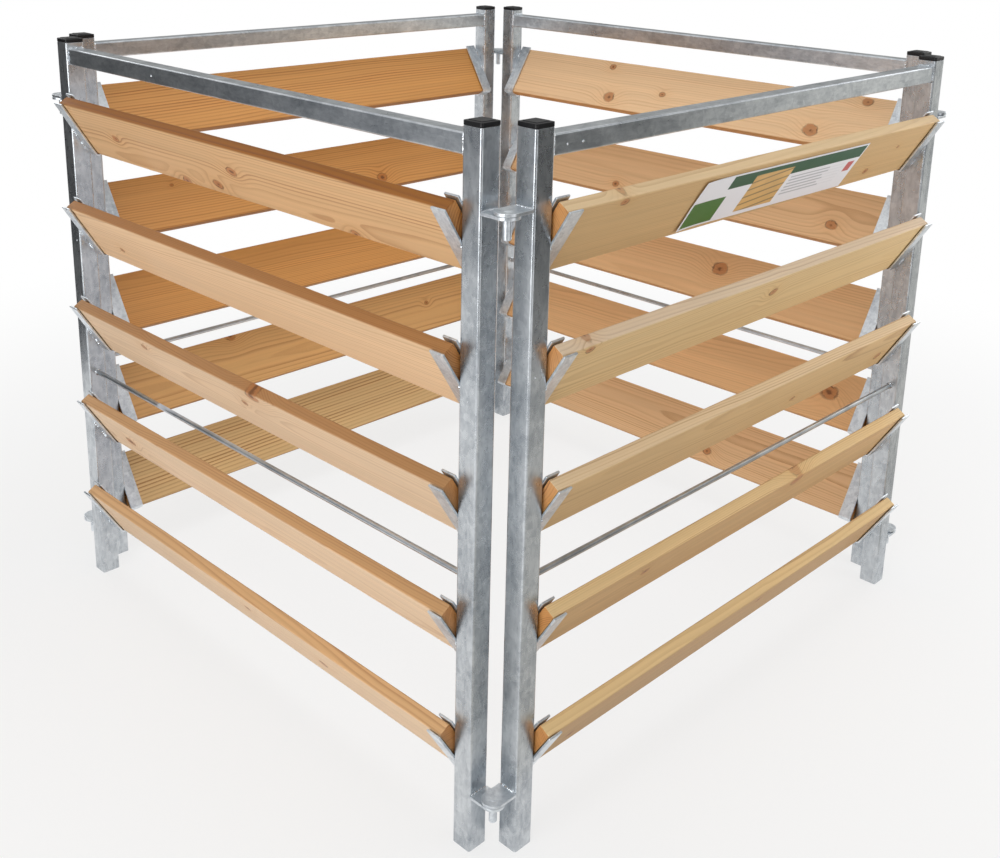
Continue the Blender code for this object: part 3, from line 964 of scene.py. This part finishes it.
class COMPOST_OT_welds(bpy.types.Operator):
    """Build the weld beads and the frozen drops of zinc"""
    bl_idname = "compost.welds"
    bl_label = "Welds"

    def execute(self, context):
        zinc = galvanised("weld")
        for turns, panel in enumerate(PANELS):
            chance = random.Random(context.scene.bin_stage.seed + turns)
            bm = bmesh.new()
            for side in (-1, 1):
                self.weld_to_post(context, bm, side, chance)
            self.weld_hinges(context, bm, chance)
            self.freeze_drops(context, bm, panel, chance)
            add_to_panel(panel, "weld_beads", bm, zinc, seed=turns + 90, even=False)
        return {"FINISHED"}

    def weld_to_post(self, context, bm, side, chance):
        """Beads round the rail and the rod, and short runs beside both flanges of the holders."""
        steel = context.scene.bin_steel
        inner = side * post_inner_side()
        rail = rounded_square(steel.rail_width + 2 * BEAD_CLEARANCE, steel.rail_corner)
        rod = circle(steel.rod_diameter / 2 + BEAD_CLEARANCE, ROD_BEAD_STEPS)
        for height, outline in ((rail_height(), rail), (ROD_HEIGHT, rod)):
            path = [Vector((inner, -HALF_SPAN + x, height + y)) for x, y in outline]
            lumpy_bead(bm, loop_points(path), steel.bead, chance, closed=True)
        flange = context.scene.bin_boards.thickness / 2 + steel.play + steel.strip_thickness
        flange += FLANGE_CLEARANCE
        for row in range(1, BOARD_ROWS + 1):
            place = board_frame(row, inner)
            for flank, low, high in HOLDER_BEADS:
                slip = chance.uniform(-BEAD_SLIP, BEAD_SLIP)
                start = place @ Vector((flank * flange, low + slip, 0))
                end = place @ Vector((flank * flange, high + slip, 0))
                lumpy_bead(bm, line_points(start, end), steel.bead * HOLDER_BEAD_SHARE, chance)

    def weld_hinges(self, context, bm, chance):
        """Beads over and under the hinge plates, where they meet the posts' end faces."""
        steel = context.scene.bin_steel
        hinge = context.scene.bin_hinges
        reach = HALF_SPAN - HINGE_REACH
        half = steel.post_width / 2 - HINGE_BEAD_INSET
        for _, top in HINGE_LEVELS:
            for side, height in ((-1, top), (1, top - hinge.plate_thickness - TOUCH_GAP)):
                for z in (height, height - hinge.plate_thickness):
                    start = Vector((side * reach, -HALF_SPAN - half, z))
                    end = Vector((side * reach, -HALF_SPAN + half, z))
                    lumpy_bead(bm, line_points(start, end), steel.bead * HINGE_BEAD_SHARE, chance)

    def freeze_drops(self, context, bm, panel, chance):
        """Drops that ran off the rail and the posts and froze on their outer faces."""
        steel = context.scene.bin_steel
        places = RIGHT_RAIL_DROPS
        if panel != "right":
            places = (chance.uniform(-RAIL_DROP_REACH, RAIL_DROP_REACH),)
        for along in places:
            height = rail_height() + chance.uniform(-RAIL_DROP_STRAY, RAIL_DROP_STRAY)
            point = Vector((along, -HALF_SPAN - steel.rail_width / 2, height))
            add_drop(bm, point, chance.uniform(*RAIL_DROP_RADII), chance)
        stray_across, stray_up = POST_DROP_STRAY
        for side in (-1, 1):
            for height in POST_DROP_HEIGHTS:
                across = post_middle(side) + chance.uniform(-stray_across, stray_across)
                up = height + chance.uniform(-stray_up, stray_up)
                point = Vector((across, -HALF_SPAN - steel.post_width / 2, up))
                add_drop(bm, point, chance.uniform(*POST_DROP_RADII), chance)


PLUG_TAPER = 0.0012
PLUG_BORE_CORNER = 0.0008


class COMPOST_OT_caps(bpy.types.Operator):
    """Build the black caps on the posts"""
    bl_idname = "compost.caps"
    bl_label = "Caps"

    def execute(self, context):
        cap = context.scene.bin_caps
        steel = context.scene.bin_steel
        plastic = cap_plastic()
        corner = steel.post_corner
        middle_width = steel.post_width - 2 * cap.border
        plug_width = steel.post_width - 2 * steel.wall - 2 * TOUCH_GAP
        bore = plug_width - 2 * cap.plug_wall
        plug_corner = corner - steel.wall / 2
        rings = [raised(rounded_square(plug_width, plug_corner), 0)]
        rings += eased_rings(lambda inset: rounded_square(steel.post_width - 2 * inset, corner - inset),
                             0, cap.thickness, cap.edge)
        top = cap.thickness + cap.rise
        # Width, corner radius and height of each ring, up the raised middle and along the plug's wall
        raised_middle = (
            (middle_width + 0.0010, 0.0020, cap.thickness),
            (middle_width + 0.0003, 0.0017, cap.thickness + 0.0002),
            (middle_width, 0.0015, top - 0.0003),
            (middle_width - 0.0004, 0.0014, top - 0.0001),
            (middle_width - 0.0010, 0.0012, top),
        )
        rings += [raised(rounded_square(width, radius), height) for width, radius, height in raised_middle]
        plug_sections = (
            (plug_width - PLUG_TAPER, plug_corner, -cap.plug_length),
            (plug_width, plug_corner, -cap.plug_length + PLUG_TAPER),
            (plug_width, plug_corner, 0),
            (bore, PLUG_BORE_CORNER, 0),
            (bore, PLUG_BORE_CORNER, -cap.plug_length),
        )
        plug = [raised(rounded_square(width, radius), height) for width, radius, height in plug_sections]
        for panel in PANELS:
            for end, side in ENDS:
                place = Matrix.Translation((post_middle(side), -HALF_SPAN, steel.post_height + TOUCH_GAP))
                bm = shell(rings, place)
                skin(bm, moved(plug, place), joined=True)
                add_to_panel(panel, f"{end}_cap", bm, plastic, f"{end}_post_cap",
                             seed=post_number(panel, side) + 110)
        return {"FINISHED"}


# Boards. Each knot: how far up the board, how far along it, and its radius
KNOTS_PER_BOARD = 5
KNOTS = {
    "front_slat_1": ((0.006, -0.313, 0.0060), (0.009, -0.005, 0.0085), (-0.029, -0.068, 0.0085),
                     (-0.044, -0.160, 0.0090), (-0.044, 0.225, 0.0070)),
    "front_slat_2": ((-0.010, -0.330, 0.0045),),
    "front_slat_3": ((0.033, -0.240, 0.0055), (0.015, 0.013, 0.0050), (0.049, 0.055, 0.0110)),
    "front_slat_4": ((-0.002, -0.335, 0.0090),),
    "front_slat_5": ((-0.003, 0.170, 0.0065), (0.015, 0.000, 0.0050)),
    "right_slat_1": ((0.047, -0.340, 0.0055), (0.016, 0.345, 0.0028), (-0.024, 0.290, 0.0050)),
    "right_slat_2": ((0.022, 0.015, 0.0070), (0.046, -0.390, 0.0060)),
    "right_slat_3": ((-0.015, 0.128, 0.0048), (-0.012, 0.383, 0.0075)),
    "right_slat_4": ((0.026, -0.245, 0.0058), (0.044, 0.110, 0.0110)),
    "right_slat_5": ((-0.017, -0.357, 0.0055), (0.029, 0.043, 0.0048)),
    "back_slat_1": ((0.034, 0.190, 0.0060), (-0.030, 0.170, 0.0095), (-0.008, 0.048, 0.0055),
                    (-0.030, -0.285, 0.0110), (0.037, -0.370, 0.0075)),
    "back_slat_2": ((-0.035, 0.140, 0.0060), (-0.022, -0.340, 0.0085)),
    "back_slat_3": ((0.012, -0.105, 0.0125), (0.040, 0.245, 0.0050)),
    "back_slat_4": ((0.003, -0.362, 0.0130),),
    "back_slat_5": ((-0.030, -0.120, 0.0075),),
    "left_slat_1": (),
    "left_slat_2": ((-0.033, -0.153, 0.0090), (0.023, 0.305, 0.0030)),
    "left_slat_3": ((0.030, 0.220, 0.0045),),
    "left_slat_4": ((0.004, -0.293, 0.0042), (0.048, 0.190, 0.0100)),
    "left_slat_5": (),
}
NO_KNOT = (0.0, 9.0, 0.001)

# Pith of some boards: across and up from the board's middle, stretch of the rings, strength of the lines
GRAIN = {
    "front_slat_1": (0.045, -0.030, 1.60, 0.80),
    "right_slat_1": (0.050, -0.120, 1.05, 0.34),
    "right_slat_3": (0.060, 0.035, 1.40, 0.60),
    "back_slat_1": (-0.046, -0.062, 1.30, 0.36),
    "back_slat_2": (-0.036, 0.010, 1.50, 0.38),
    "back_slat_3": (-0.050, -0.030, 1.30, 0.42),
    "back_slat_4": (-0.060, 0.050, 1.10, 0.38),
    "left_slat_1": (-0.055, -0.100, 1.60, 0.80),
    "left_slat_2": (-0.060, -0.080, 1.30, 0.60),
    "left_slat_5": (-0.030, -0.095, 2.20, 1.30),
}

# Wood of each board, uppermost first: two colours, and how far from the first to the second. The front's
# outer faces grow lighter towards the bottom: painted light from the floor.
OUTER_TONES_AND_FLOOR_LIGHT = {
    "front": ("honey_tan", "pale_tan", (0.04, 0.36, 0.55, 0.78, 0.72)),
    "right": ("fawn_tan", "straw_tan", (0.42, 0.88, 0.52, 0.30, 0.12)),
    "back": ("honey_tan", "straw_tan", (0.70, 0.30, 0.60, 0.45, 0.80)),
    "left": ("honey_tan", "straw_tan", (0.40, 0.80, 0.20, 0.60, 0.90)),
}
INNER_TONES = {
    "front": ("orange_tan", "honey_tan", (0.40, 0.60, 0.50, 0.70, 0.80)),
    "right": ("orange_tan", "honey_tan", (0.60, 0.50, 0.70, 0.40, 0.60)),
    "back": ("orange_tan", "golden_tan", (0.72, 0.54, 0.47, 0.41, 0.58)),
    "left": ("orange_tan", "straw_tan", (0.10, 0.06, 0.08, 0.42, 0.85)),
}
# Edge tones are painted light and shade as well as wood: the front's edges darker the higher the board, the
# right's edges lit pale.
EDGE_TONES_LIGHT_AND_SHADE = {
    "front": ("edge_brown_and_shade", "honey_tan", (0.00, 0.26, 0.42, 0.72, 1.00)),
    "right": ("straw_tan", "pale_tan", (0.30, 0.80, 0.45, 0.05, 0.00)),
    "back": ("orange_tan", "honey_tan", (0.30, 0.60, 0.40, 0.70, 0.50)),
    "left": ("edge_brown_and_shade", "honey_tan", (0.50, 0.40, 0.60, 0.45, 0.70)),
}


def board_outline(board):
    """Cross-section of a board as (x, y, direction faced), with extra points across its faces."""
    radius = board.arris
    half_x = board.thickness / 2 - radius
    half_y = board.width / 2 - radius
    points = []
    corners = ((1, 1), (-1, 1), (-1, -1), (1, -1))
    for quarter, (side_x, side_y) in enumerate(corners):
        start = quarter * QUARTER_TURN
        for step in range(ARRIS_STEPS + 1):
            angle = start + QUARTER_TURN * step / ARRIS_STEPS
            points.append((side_x * half_x + radius * math.cos(angle),
                           side_y * half_y + radius * math.sin(angle), angle))
        next_x, next_y = corners[(quarter + 1) % 4]
        angle = start + QUARTER_TURN
        cuts = THIN_CUTS if quarter % 2 == 0 else FACE_CUTS
        from_x, from_y = points[-1][:2]
        to_x = next_x * half_x + radius * math.cos(angle)
        to_y = next_y * half_y + radius * math.sin(angle)
        for step in range(1, cuts):
            share = step / cuts
            points.append((from_x + (to_x - from_x) * share, from_y + (to_y - from_y) * share, angle))
    return points


# How a board's shape strays: shares of its warp, and sizes in metres
CROOK_SHARE = 0.7
CUP_SHARE = 0.5
TWIST_PER_WARP = 14         # radians for each metre of warp
END_STATIONS = (0, 0.0003, 0.0010)  # from a board's end to its first rings
END_ROUNDING = 0.0009
END_PULL = 0.6
ARRIS_WEAR = 0.0003
WEAR_PER_METRE = 60


def board_tone(board, tones, panel, number):
    """The wood colour that a table of tones gives a board."""
    first, second, shares = tones[panel]
    return Vector(getattr(board, first)).lerp(Vector(getattr(board, second)), shares[number - 1])


class COMPOST_OT_boards(bpy.types.Operator):
    """Build the twenty planed boards"""
    bl_idname = "compost.boards"
    bl_label = "Boards"

    def execute(self, context):
        board = context.scene.bin_boards
        wood = softwood()
        for panel in PANELS:
            for number in range(1, BOARD_ROWS + 1):
                self.add_board(context, panel, number, board, wood)
        return {"FINISHED"}

    def add_board(self, context, panel, number, board, wood):
        name = f"{panel}_slat_{number}"
        place_in_row = PANELS.index(panel) * BOARD_ROWS + number
        chance = random.Random(context.scene.bin_stage.seed * 100 + place_in_row)
        outline = board_outline(board)
        bow = chance.uniform(-1, 1) * board.warp
        crook = chance.uniform(-1, 1) * board.warp * CROOK_SHARE
        cup = chance.uniform(-1, 1) * board.warp * CUP_SHARE
        twist = chance.uniform(-1, 1) * board.warp * TWIST_PER_WARP
        half = board.length / 2
        stations = [-half + inset for inset in END_STATIONS]
        stations += [-half + board.length * step / BOARD_CUTS for step in range(1, BOARD_CUTS)]
        stations += [half - inset for inset in reversed(END_STATIONS)]
        rings = []
        for z in stations:
            share = z / half
            drawn_in = max(0.0, END_ROUNDING - (half - abs(z))) * END_PULL
            turn = Matrix.Rotation(twist * share / 2, 2)
            ring = []
            for index, (x, y, angle) in enumerate(outline):
                at_arris = abs(math.sin(2 * angle))
                spot = Vector((z * WEAR_PER_METRE, index // 8 * 5.0, place_in_row))
                pull = drawn_in + noise.noise(spot) * ARRIS_WEAR * at_arris
                x -= math.cos(angle) * pull
                y -= math.sin(angle) * pull
                x += cup * (1 - (2 * y / board.width) ** 2)
                x, y = turn @ Vector((x, y))
                ring.append((x + bow * (1 - share * share), y + crook * (1 - share * share), z))
            rings.append(ring)
        bm = bmesh.new()
        skin(bm, rings)
        place = panel_turn(panel) @ board_frame(BOARD_ROWS + 1 - number)
        item = add_piece(f"{name}_board", bm, wood, name, place, (name,), seed=place_in_row)
        mesh = item.data
        outer, inner, edge = (board_tone(board, tones, panel, number)
                              for tones in (OUTER_TONES_AND_FLOOR_LIGHT, INNER_TONES, EDGE_TONES_LIGHT_AND_SHADE))
        light = chance.uniform(0.97, 1.03)
        warmth = chance.uniform(-0.015, 0.015)
        tint = Vector((light * (1 + warmth), light, light * (1 - 1.5 * warmth)))
        tones = []
        for _ in stations:
            for _, _, angle in outline:
                facing_in = max(0.0, math.cos(angle)) ** 2
                facing_out = max(0.0, -math.cos(angle)) ** 2
                # On top of the wood's colour, the edge tone is painted light and shade, and the front's
                # outer tone is painted floor light.
                tone = inner * facing_in + outer * facing_out + edge * math.sin(angle) ** 2
                tones += [tone.x * tint.x, tone.y * tint.y, tone.z * tint.z, 1.0]
        colours = mesh.attributes.new("tone", "FLOAT_COLOR", "POINT")
        colours.data.foreach_set("color", tones)
        side = chance.choice((-1, 1))
        across, up, stretch, contrast = GRAIN.get(name, (
            side * chance.uniform(0.030, 0.075), chance.uniform(-0.080, 0.080),
            chance.uniform(0.7, 1.3), chance.uniform(0.42, 0.66)))
        pith = (across, up, stretch)
        lean = (chance.uniform(-0.02, 0.02), chance.uniform(-0.015, 0.015), contrast)
        set_mark(mesh, "pith", pith, "FLOAT_VECTOR")
        set_mark(mesh, "lean", lean, "FLOAT_VECTOR")
        knots = KNOTS[name] + (NO_KNOT,) * KNOTS_PER_BOARD
        for index in range(KNOTS_PER_BOARD):
            set_mark(mesh, f"knot_{index + 1}", knots[index], "FLOAT_VECTOR")


SHEET_COLUMNS = 60
SHEET_ROWS = 14
LOOSE_LENGTH = 0.055        # of the sheet, at its left end, in metres
SHEET_RIPPLE = 0.00012
SHEET_GAP = 0.0002
SHEET_ALONG = 0.0235        # from the board's middle to the sheet's, towards the eye end
SHEET_UP = -0.0005          # from the board's middle to the sheet's, up the board's width


class COMPOST_OT_sheet(bpy.types.Operator):
    """Lay the printed paper sheet on the uppermost right board"""
    bl_idname = "compost.sheet"
    bl_label = "Paper Sheet"

    def execute(self, context):
        sheet = context.scene.bin_sheet
        board = context.scene.bin_boards
        bm = bmesh.new()
        layers = [self.add_layer(bm, sheet, face * sheet.thickness) for face in (1, 0)]
        rims = []
        for grid in layers:
            right = [line[-1] for line in grid[1:]]
            left = [line[0] for line in grid[-2:0:-1]]
            rims.append(grid[0] + right + grid[-1][-2::-1] + left)
        for index in range(len(rims[0])):
            after = (index + 1) % len(rims[0])
            bm.faces.new((rims[0][index], rims[0][after], rims[1][after], rims[1][index]))
        # Its face points away from the board's outer face, with its length along the panel
        axes = Matrix(((0, 0, -1), (0, 1, 0), (1, 0, 0))).to_4x4()
        off_middle = board.thickness / 2 + board.warp * 0.6
        on_board = Matrix.Translation((-off_middle, SHEET_UP, SHEET_ALONG)) @ axes
        on_board = on_board @ Matrix.Rotation(sheet.turn, 4, "Z")
        place = panel_turn("right") @ board_frame(BOARD_ROWS) @ on_board
        add_piece("printed_sheet", bm, printed_paper(), "right_slat_1", place,
                  seed=200, even=False)
        return {"FINISHED"}

    def add_layer(self, bm, sheet, lift):
        """One face of the sheet, with its loose end off the board; gives its points row by row."""
        grid = []
        for row in range(SHEET_ROWS + 1):
            line = []
            for column in range(SHEET_COLUMNS + 1):
                x = (column / SHEET_COLUMNS - 0.5) * sheet.length
                y = (row / SHEET_ROWS - 0.5) * sheet.height
                loose = max(0.0, (-x - sheet.length / 2 + LOOSE_LENGTH) / LOOSE_LENGTH)
                ripple = noise.noise(Vector((x * 22, y * 30, 3.0))) * SHEET_RIPPLE
                curl = sheet.lift * loose ** 2 * (0.55 + 0.45 * abs(2 * y / sheet.height))
                line.append(bm.verts.new((x, y, SHEET_GAP + ripple + curl + lift)))
            grid.append(line)
        for low, high in zip(grid, grid[1:]):
            for column in range(SHEET_COLUMNS):
                bm.faces.new((low[column], low[column + 1], high[column + 1], high[column]))
        return grid


# Camera: where it stands, which way it looks back from, and its slight roll
CAMERA_PLACE = (1.3944, -1.4315, 1.1658)
CAMERA_AZIMUTH = math.radians(44.160)
CAMERA_ELEVATION = math.radians(15.882)
CAMERA_ROLL = math.radians(1.311)
CAMERA_SHIFT_Y = -0.184


def standing(first, second, height, foot=0):
    """Corners of a card that stands on edge between two places."""
    return (*first, foot), (*second, foot), (*second, height), (*first, height)


def lying(low, high, height):
    """Corners of a level card between its lowest and highest X and Y."""
    return (*low, height), (high[0], low[1], height), (*high, height), (low[0], high[1], height)


# Cards round the bin that its zinc mirrors: their corners, and the light they give
REFLECTION_CARDS = (
    ("left_card", standing((-1.30, -0.60), (-1.62, -1.75), 1.3), (0.030, 0.030, 0.030)),
    ("front_left_card", standing((-1.62, -1.75), (-1.30, -3.20), 1.4), (0.165, 0.172, 0.185)),
    ("front_right_card", standing((1.05, -2.75), (3.30, -1.20), 1.3), (0.050, 0.050, 0.050)),
    ("right_card", standing((2.25, 0.36), (1.42, 1.11), 1.2), (0.030, 0.030, 0.030)),
    ("far_right_card", standing((1.42, 1.11), (1.10, 3.00), 1.2), (0.68, 0.67, 0.63)),
    ("inner_card", standing((-0.25, -0.52), (-0.25, -0.27), 0.84, 0.03), (0.66, 0.64, 0.65)),
    ("rear_card", standing((-3.40, 0.60), (-0.60, 3.40), 2.4), (0.27, 0.27, 0.26)),
    ("low_right_card", lying((0.62, -0.90), (1.75, 2.60), 0), (0.62, 0.605, 0.57)),
    ("high_card", lying((0.60, 0.80), (2.60, 3.00), 2.9), (0.15, 0.15, 0.15)),
    ("ceiling_card", lying((-7.0, -7.0), (7.0, 7.0), 3.2), (0.74, 0.74, 0.74)),
)

# Lamps: where they hang, their side, their share of the key light, and whether the zinc mirrors them
LAMPS = (
    ("key_lamp", (0.9, -3.0, 0.9), 2.0, 1.0, True),
    ("fill_lamp", (1.55, 0.95, 0.55), 0.9, 0.15, False),
    ("top_lamp", (0.2, 0.2, 3.4), 2.4, 0.9, True),
    ("left_lamp", (-3.3, -0.3, 1.6), 1.6, 0.34, True),
    ("rear_lamp", (0.7, 3.4, 1.6), 1.6, 0.34, True),
)
LAMP_AIM = Vector((0, 0, 0.45))
FLOOR_DROP = 0.0004         # of the floor below the posts' feet
FLOOR_TO_WHITE = (0.9, 2.2)  # from where to where the floor turns white, in metres from the middle
FLOOR_WHITE = 0.74          # share of white that the camera sees near the bin


def seen_rays(finish):
    """1 for what the camera sees, directly or mirrored in metal, and 0 for light on its way."""
    camera = finish.node("ShaderNodeLightPath", output="Is Camera Ray")
    passed_on = camera.beside("Is Glossy Ray").sum("MAXIMUM", camera.beside("Is Transmission Ray"))
    return camera.sum("MAXIMUM", passed_on)


def add_to_stage(name, bm, finish):
    mesh = bpy.data.meshes.new(name)
    bm.to_mesh(mesh)
    bm.free()
    mesh.materials.append(finish.result)
    item = bpy.data.objects.new(name, mesh)
    STAGE.objects.link(item)
    return item


class COMPOST_OT_stage(bpy.types.Operator):
    """Lay the floor, hang the lamps and stand the camera"""
    bl_idname = "compost.stage"
    bl_label = "Stage"

    def execute(self, context):
        self.lay_floor(context)
        self.paint_world(context)
        self.hang_lamps(context)
        self.stand_cards()
        self.stand_camera(context)
        context.scene.view_settings.view_transform = "Standard"
        return {"FINISHED"}

    def lay_floor(self, context):
        """A matt floor that shows its shadows and turns white further out."""
        stage = context.scene.bin_stage
        bm = bmesh.new()
        bmesh.ops.create_grid(bm, x_segments=8, y_segments=8, size=stage.floor_size / 2)
        finish = Finish("pale_floor")
        finish.dress({"Base Color": tuple(stage.floor), "Roughness": 0.9, "Specular IOR Level": 0.0})
        across, deep, _ = finish.place().split()
        distance = (across * across + deep * deep) ** 0.5
        far = distance.fade(*FLOOR_TO_WHITE) * (1 - FLOOR_WHITE) + FLOOR_WHITE
        white = finish.node("ShaderNodeEmission", {}, {"Color": (1, 1, 1), "Strength": 1.0})
        finish.give_way(seen_rays(finish) * far, white)
        add_to_stage("floor", bm, finish).location.z = -FLOOR_DROP

    def paint_world(self, context):
        """White to look at, and dimmer as a light."""
        finish = Finish("studio", bpy.data.worlds)
        finish.dress({"Color": (1, 1, 1), "Strength": context.scene.bin_stage.ambient})
        white = finish.node("ShaderNodeBackground", {}, {"Color": (1, 1, 1), "Strength": 1.0})
        finish.give_way(seen_rays(finish), white)
        context.scene.world = finish.result

    def hang_lamps(self, context):
        for name, place, size, share, mirrored in LAMPS:
            data = bpy.data.lights.new(name, "AREA")
            data.shape = "SQUARE"
            data.size = size
            data.energy = context.scene.bin_stage.key * share
            lamp = bpy.data.objects.new(name, data)
            lamp.location = place
            lamp.rotation_euler = (LAMP_AIM - Vector(place)).to_track_quat("-Z", "Y").to_euler()
            lamp.visible_glossy = mirrored
            STAGE.objects.link(lamp)

    def stand_cards(self):
        """Dark and grey cards that the zinc mirrors; they cast no shade and the camera doesn't see them."""
        for name, corners, tone in REFLECTION_CARDS:
            bm = bmesh.new()
            bm.faces.new([bm.verts.new(corner) for corner in corners])
            finish = Finish(name)
            finish.close(finish.node("ShaderNodeEmission", {}, {"Color": tone}))
            card = add_to_stage(name, bm, finish)
            for ray in ("camera", "diffuse", "shadow"):
                setattr(card, f"visible_{ray}", False)

    def stand_camera(self, context):
        data = bpy.data.cameras.new("camera")
        data.sensor_fit = "HORIZONTAL"
        data.sensor_width = 36.0
        data.lens = context.scene.bin_stage.lens
        data.shift_y = CAMERA_SHIFT_Y
        data.clip_end = 100
        camera = bpy.data.objects.new("camera", data)
        STAGE.objects.link(camera)
        flat = math.cos(CAMERA_ELEVATION)
        back = Vector((math.sin(CAMERA_AZIMUTH) * flat, -math.cos(CAMERA_AZIMUTH) * flat,
                       math.sin(CAMERA_ELEVATION)))
        right = Vector((math.cos(CAMERA_AZIMUTH), math.sin(CAMERA_AZIMUTH), 0))
        up = back.cross(right)
        rolled_right = right * math.cos(CAMERA_ROLL) + up * math.sin(CAMERA_ROLL)
        rolled_up = up * math.cos(CAMERA_ROLL) - right * math.sin(CAMERA_ROLL)
        turn = Matrix((rolled_right, rolled_up, back)).transposed().to_4x4()
        camera.matrix_world = Matrix.Translation(CAMERA_PLACE) @ turn
        context.scene.camera = camera


class COMPOST_PT_bin(bpy.types.Panel):
    """Lists the steps that build the bin"""
    bl_idname = "COMPOST_PT_bin"
    bl_label = "Slatted Compost Bin"
    bl_space_type = "VIEW_3D"
    bl_region_type = "UI"
    bl_category = "Compost Bin"

    def draw(self, context):
        column = self.layout.column(align=True)
        for operator in OPERATORS:
            column.operator(operator.bl_idname)


SETTINGS = (
    ("bin_boards", BoardSettings),
    ("bin_steel", SteelSettings),
    ("bin_hinges", HingeSettings),
    ("bin_caps", CapSettings),
    ("bin_sheet", SheetSettings),
    ("bin_stage", StageSettings),
)
OPERATORS = (
    COMPOST_OT_posts,
    COMPOST_OT_holders,
    COMPOST_OT_rails,
    COMPOST_OT_hinges,
    COMPOST_OT_welds,
    COMPOST_OT_caps,
    COMPOST_OT_boards,
    COMPOST_OT_sheet,
    COMPOST_OT_stage,
)


def register():
    for name, settings in SETTINGS:
        bpy.utils.register_class(settings)
        setattr(bpy.types.Scene, name, PointerProperty(type=settings))
    for operator in OPERATORS:
        bpy.utils.register_class(operator)
    bpy.utils.register_class(COMPOST_PT_bin)


def unregister():
    bpy.utils.unregister_class(COMPOST_PT_bin)
    for operator in reversed(OPERATORS):
        bpy.utils.unregister_class(operator)
    for name, settings in reversed(SETTINGS):
        delattr(bpy.types.Scene, name)
        bpy.utils.unregister_class(settings)


def main():
    register()
    scene = bpy.context.scene
    scene.collection.children.link(BIN)
    scene.collection.children.link(STAGE)
    bpy.ops.compost.posts()
    bpy.ops.compost.holders()
    bpy.ops.compost.rails()
    bpy.ops.compost.hinges()
    bpy.ops.compost.welds()
    bpy.ops.compost.caps()
    bpy.ops.compost.boards()
    bpy.ops.compost.sheet()
    bpy.ops.compost.stage()


if __name__ == "__main__":
    main()
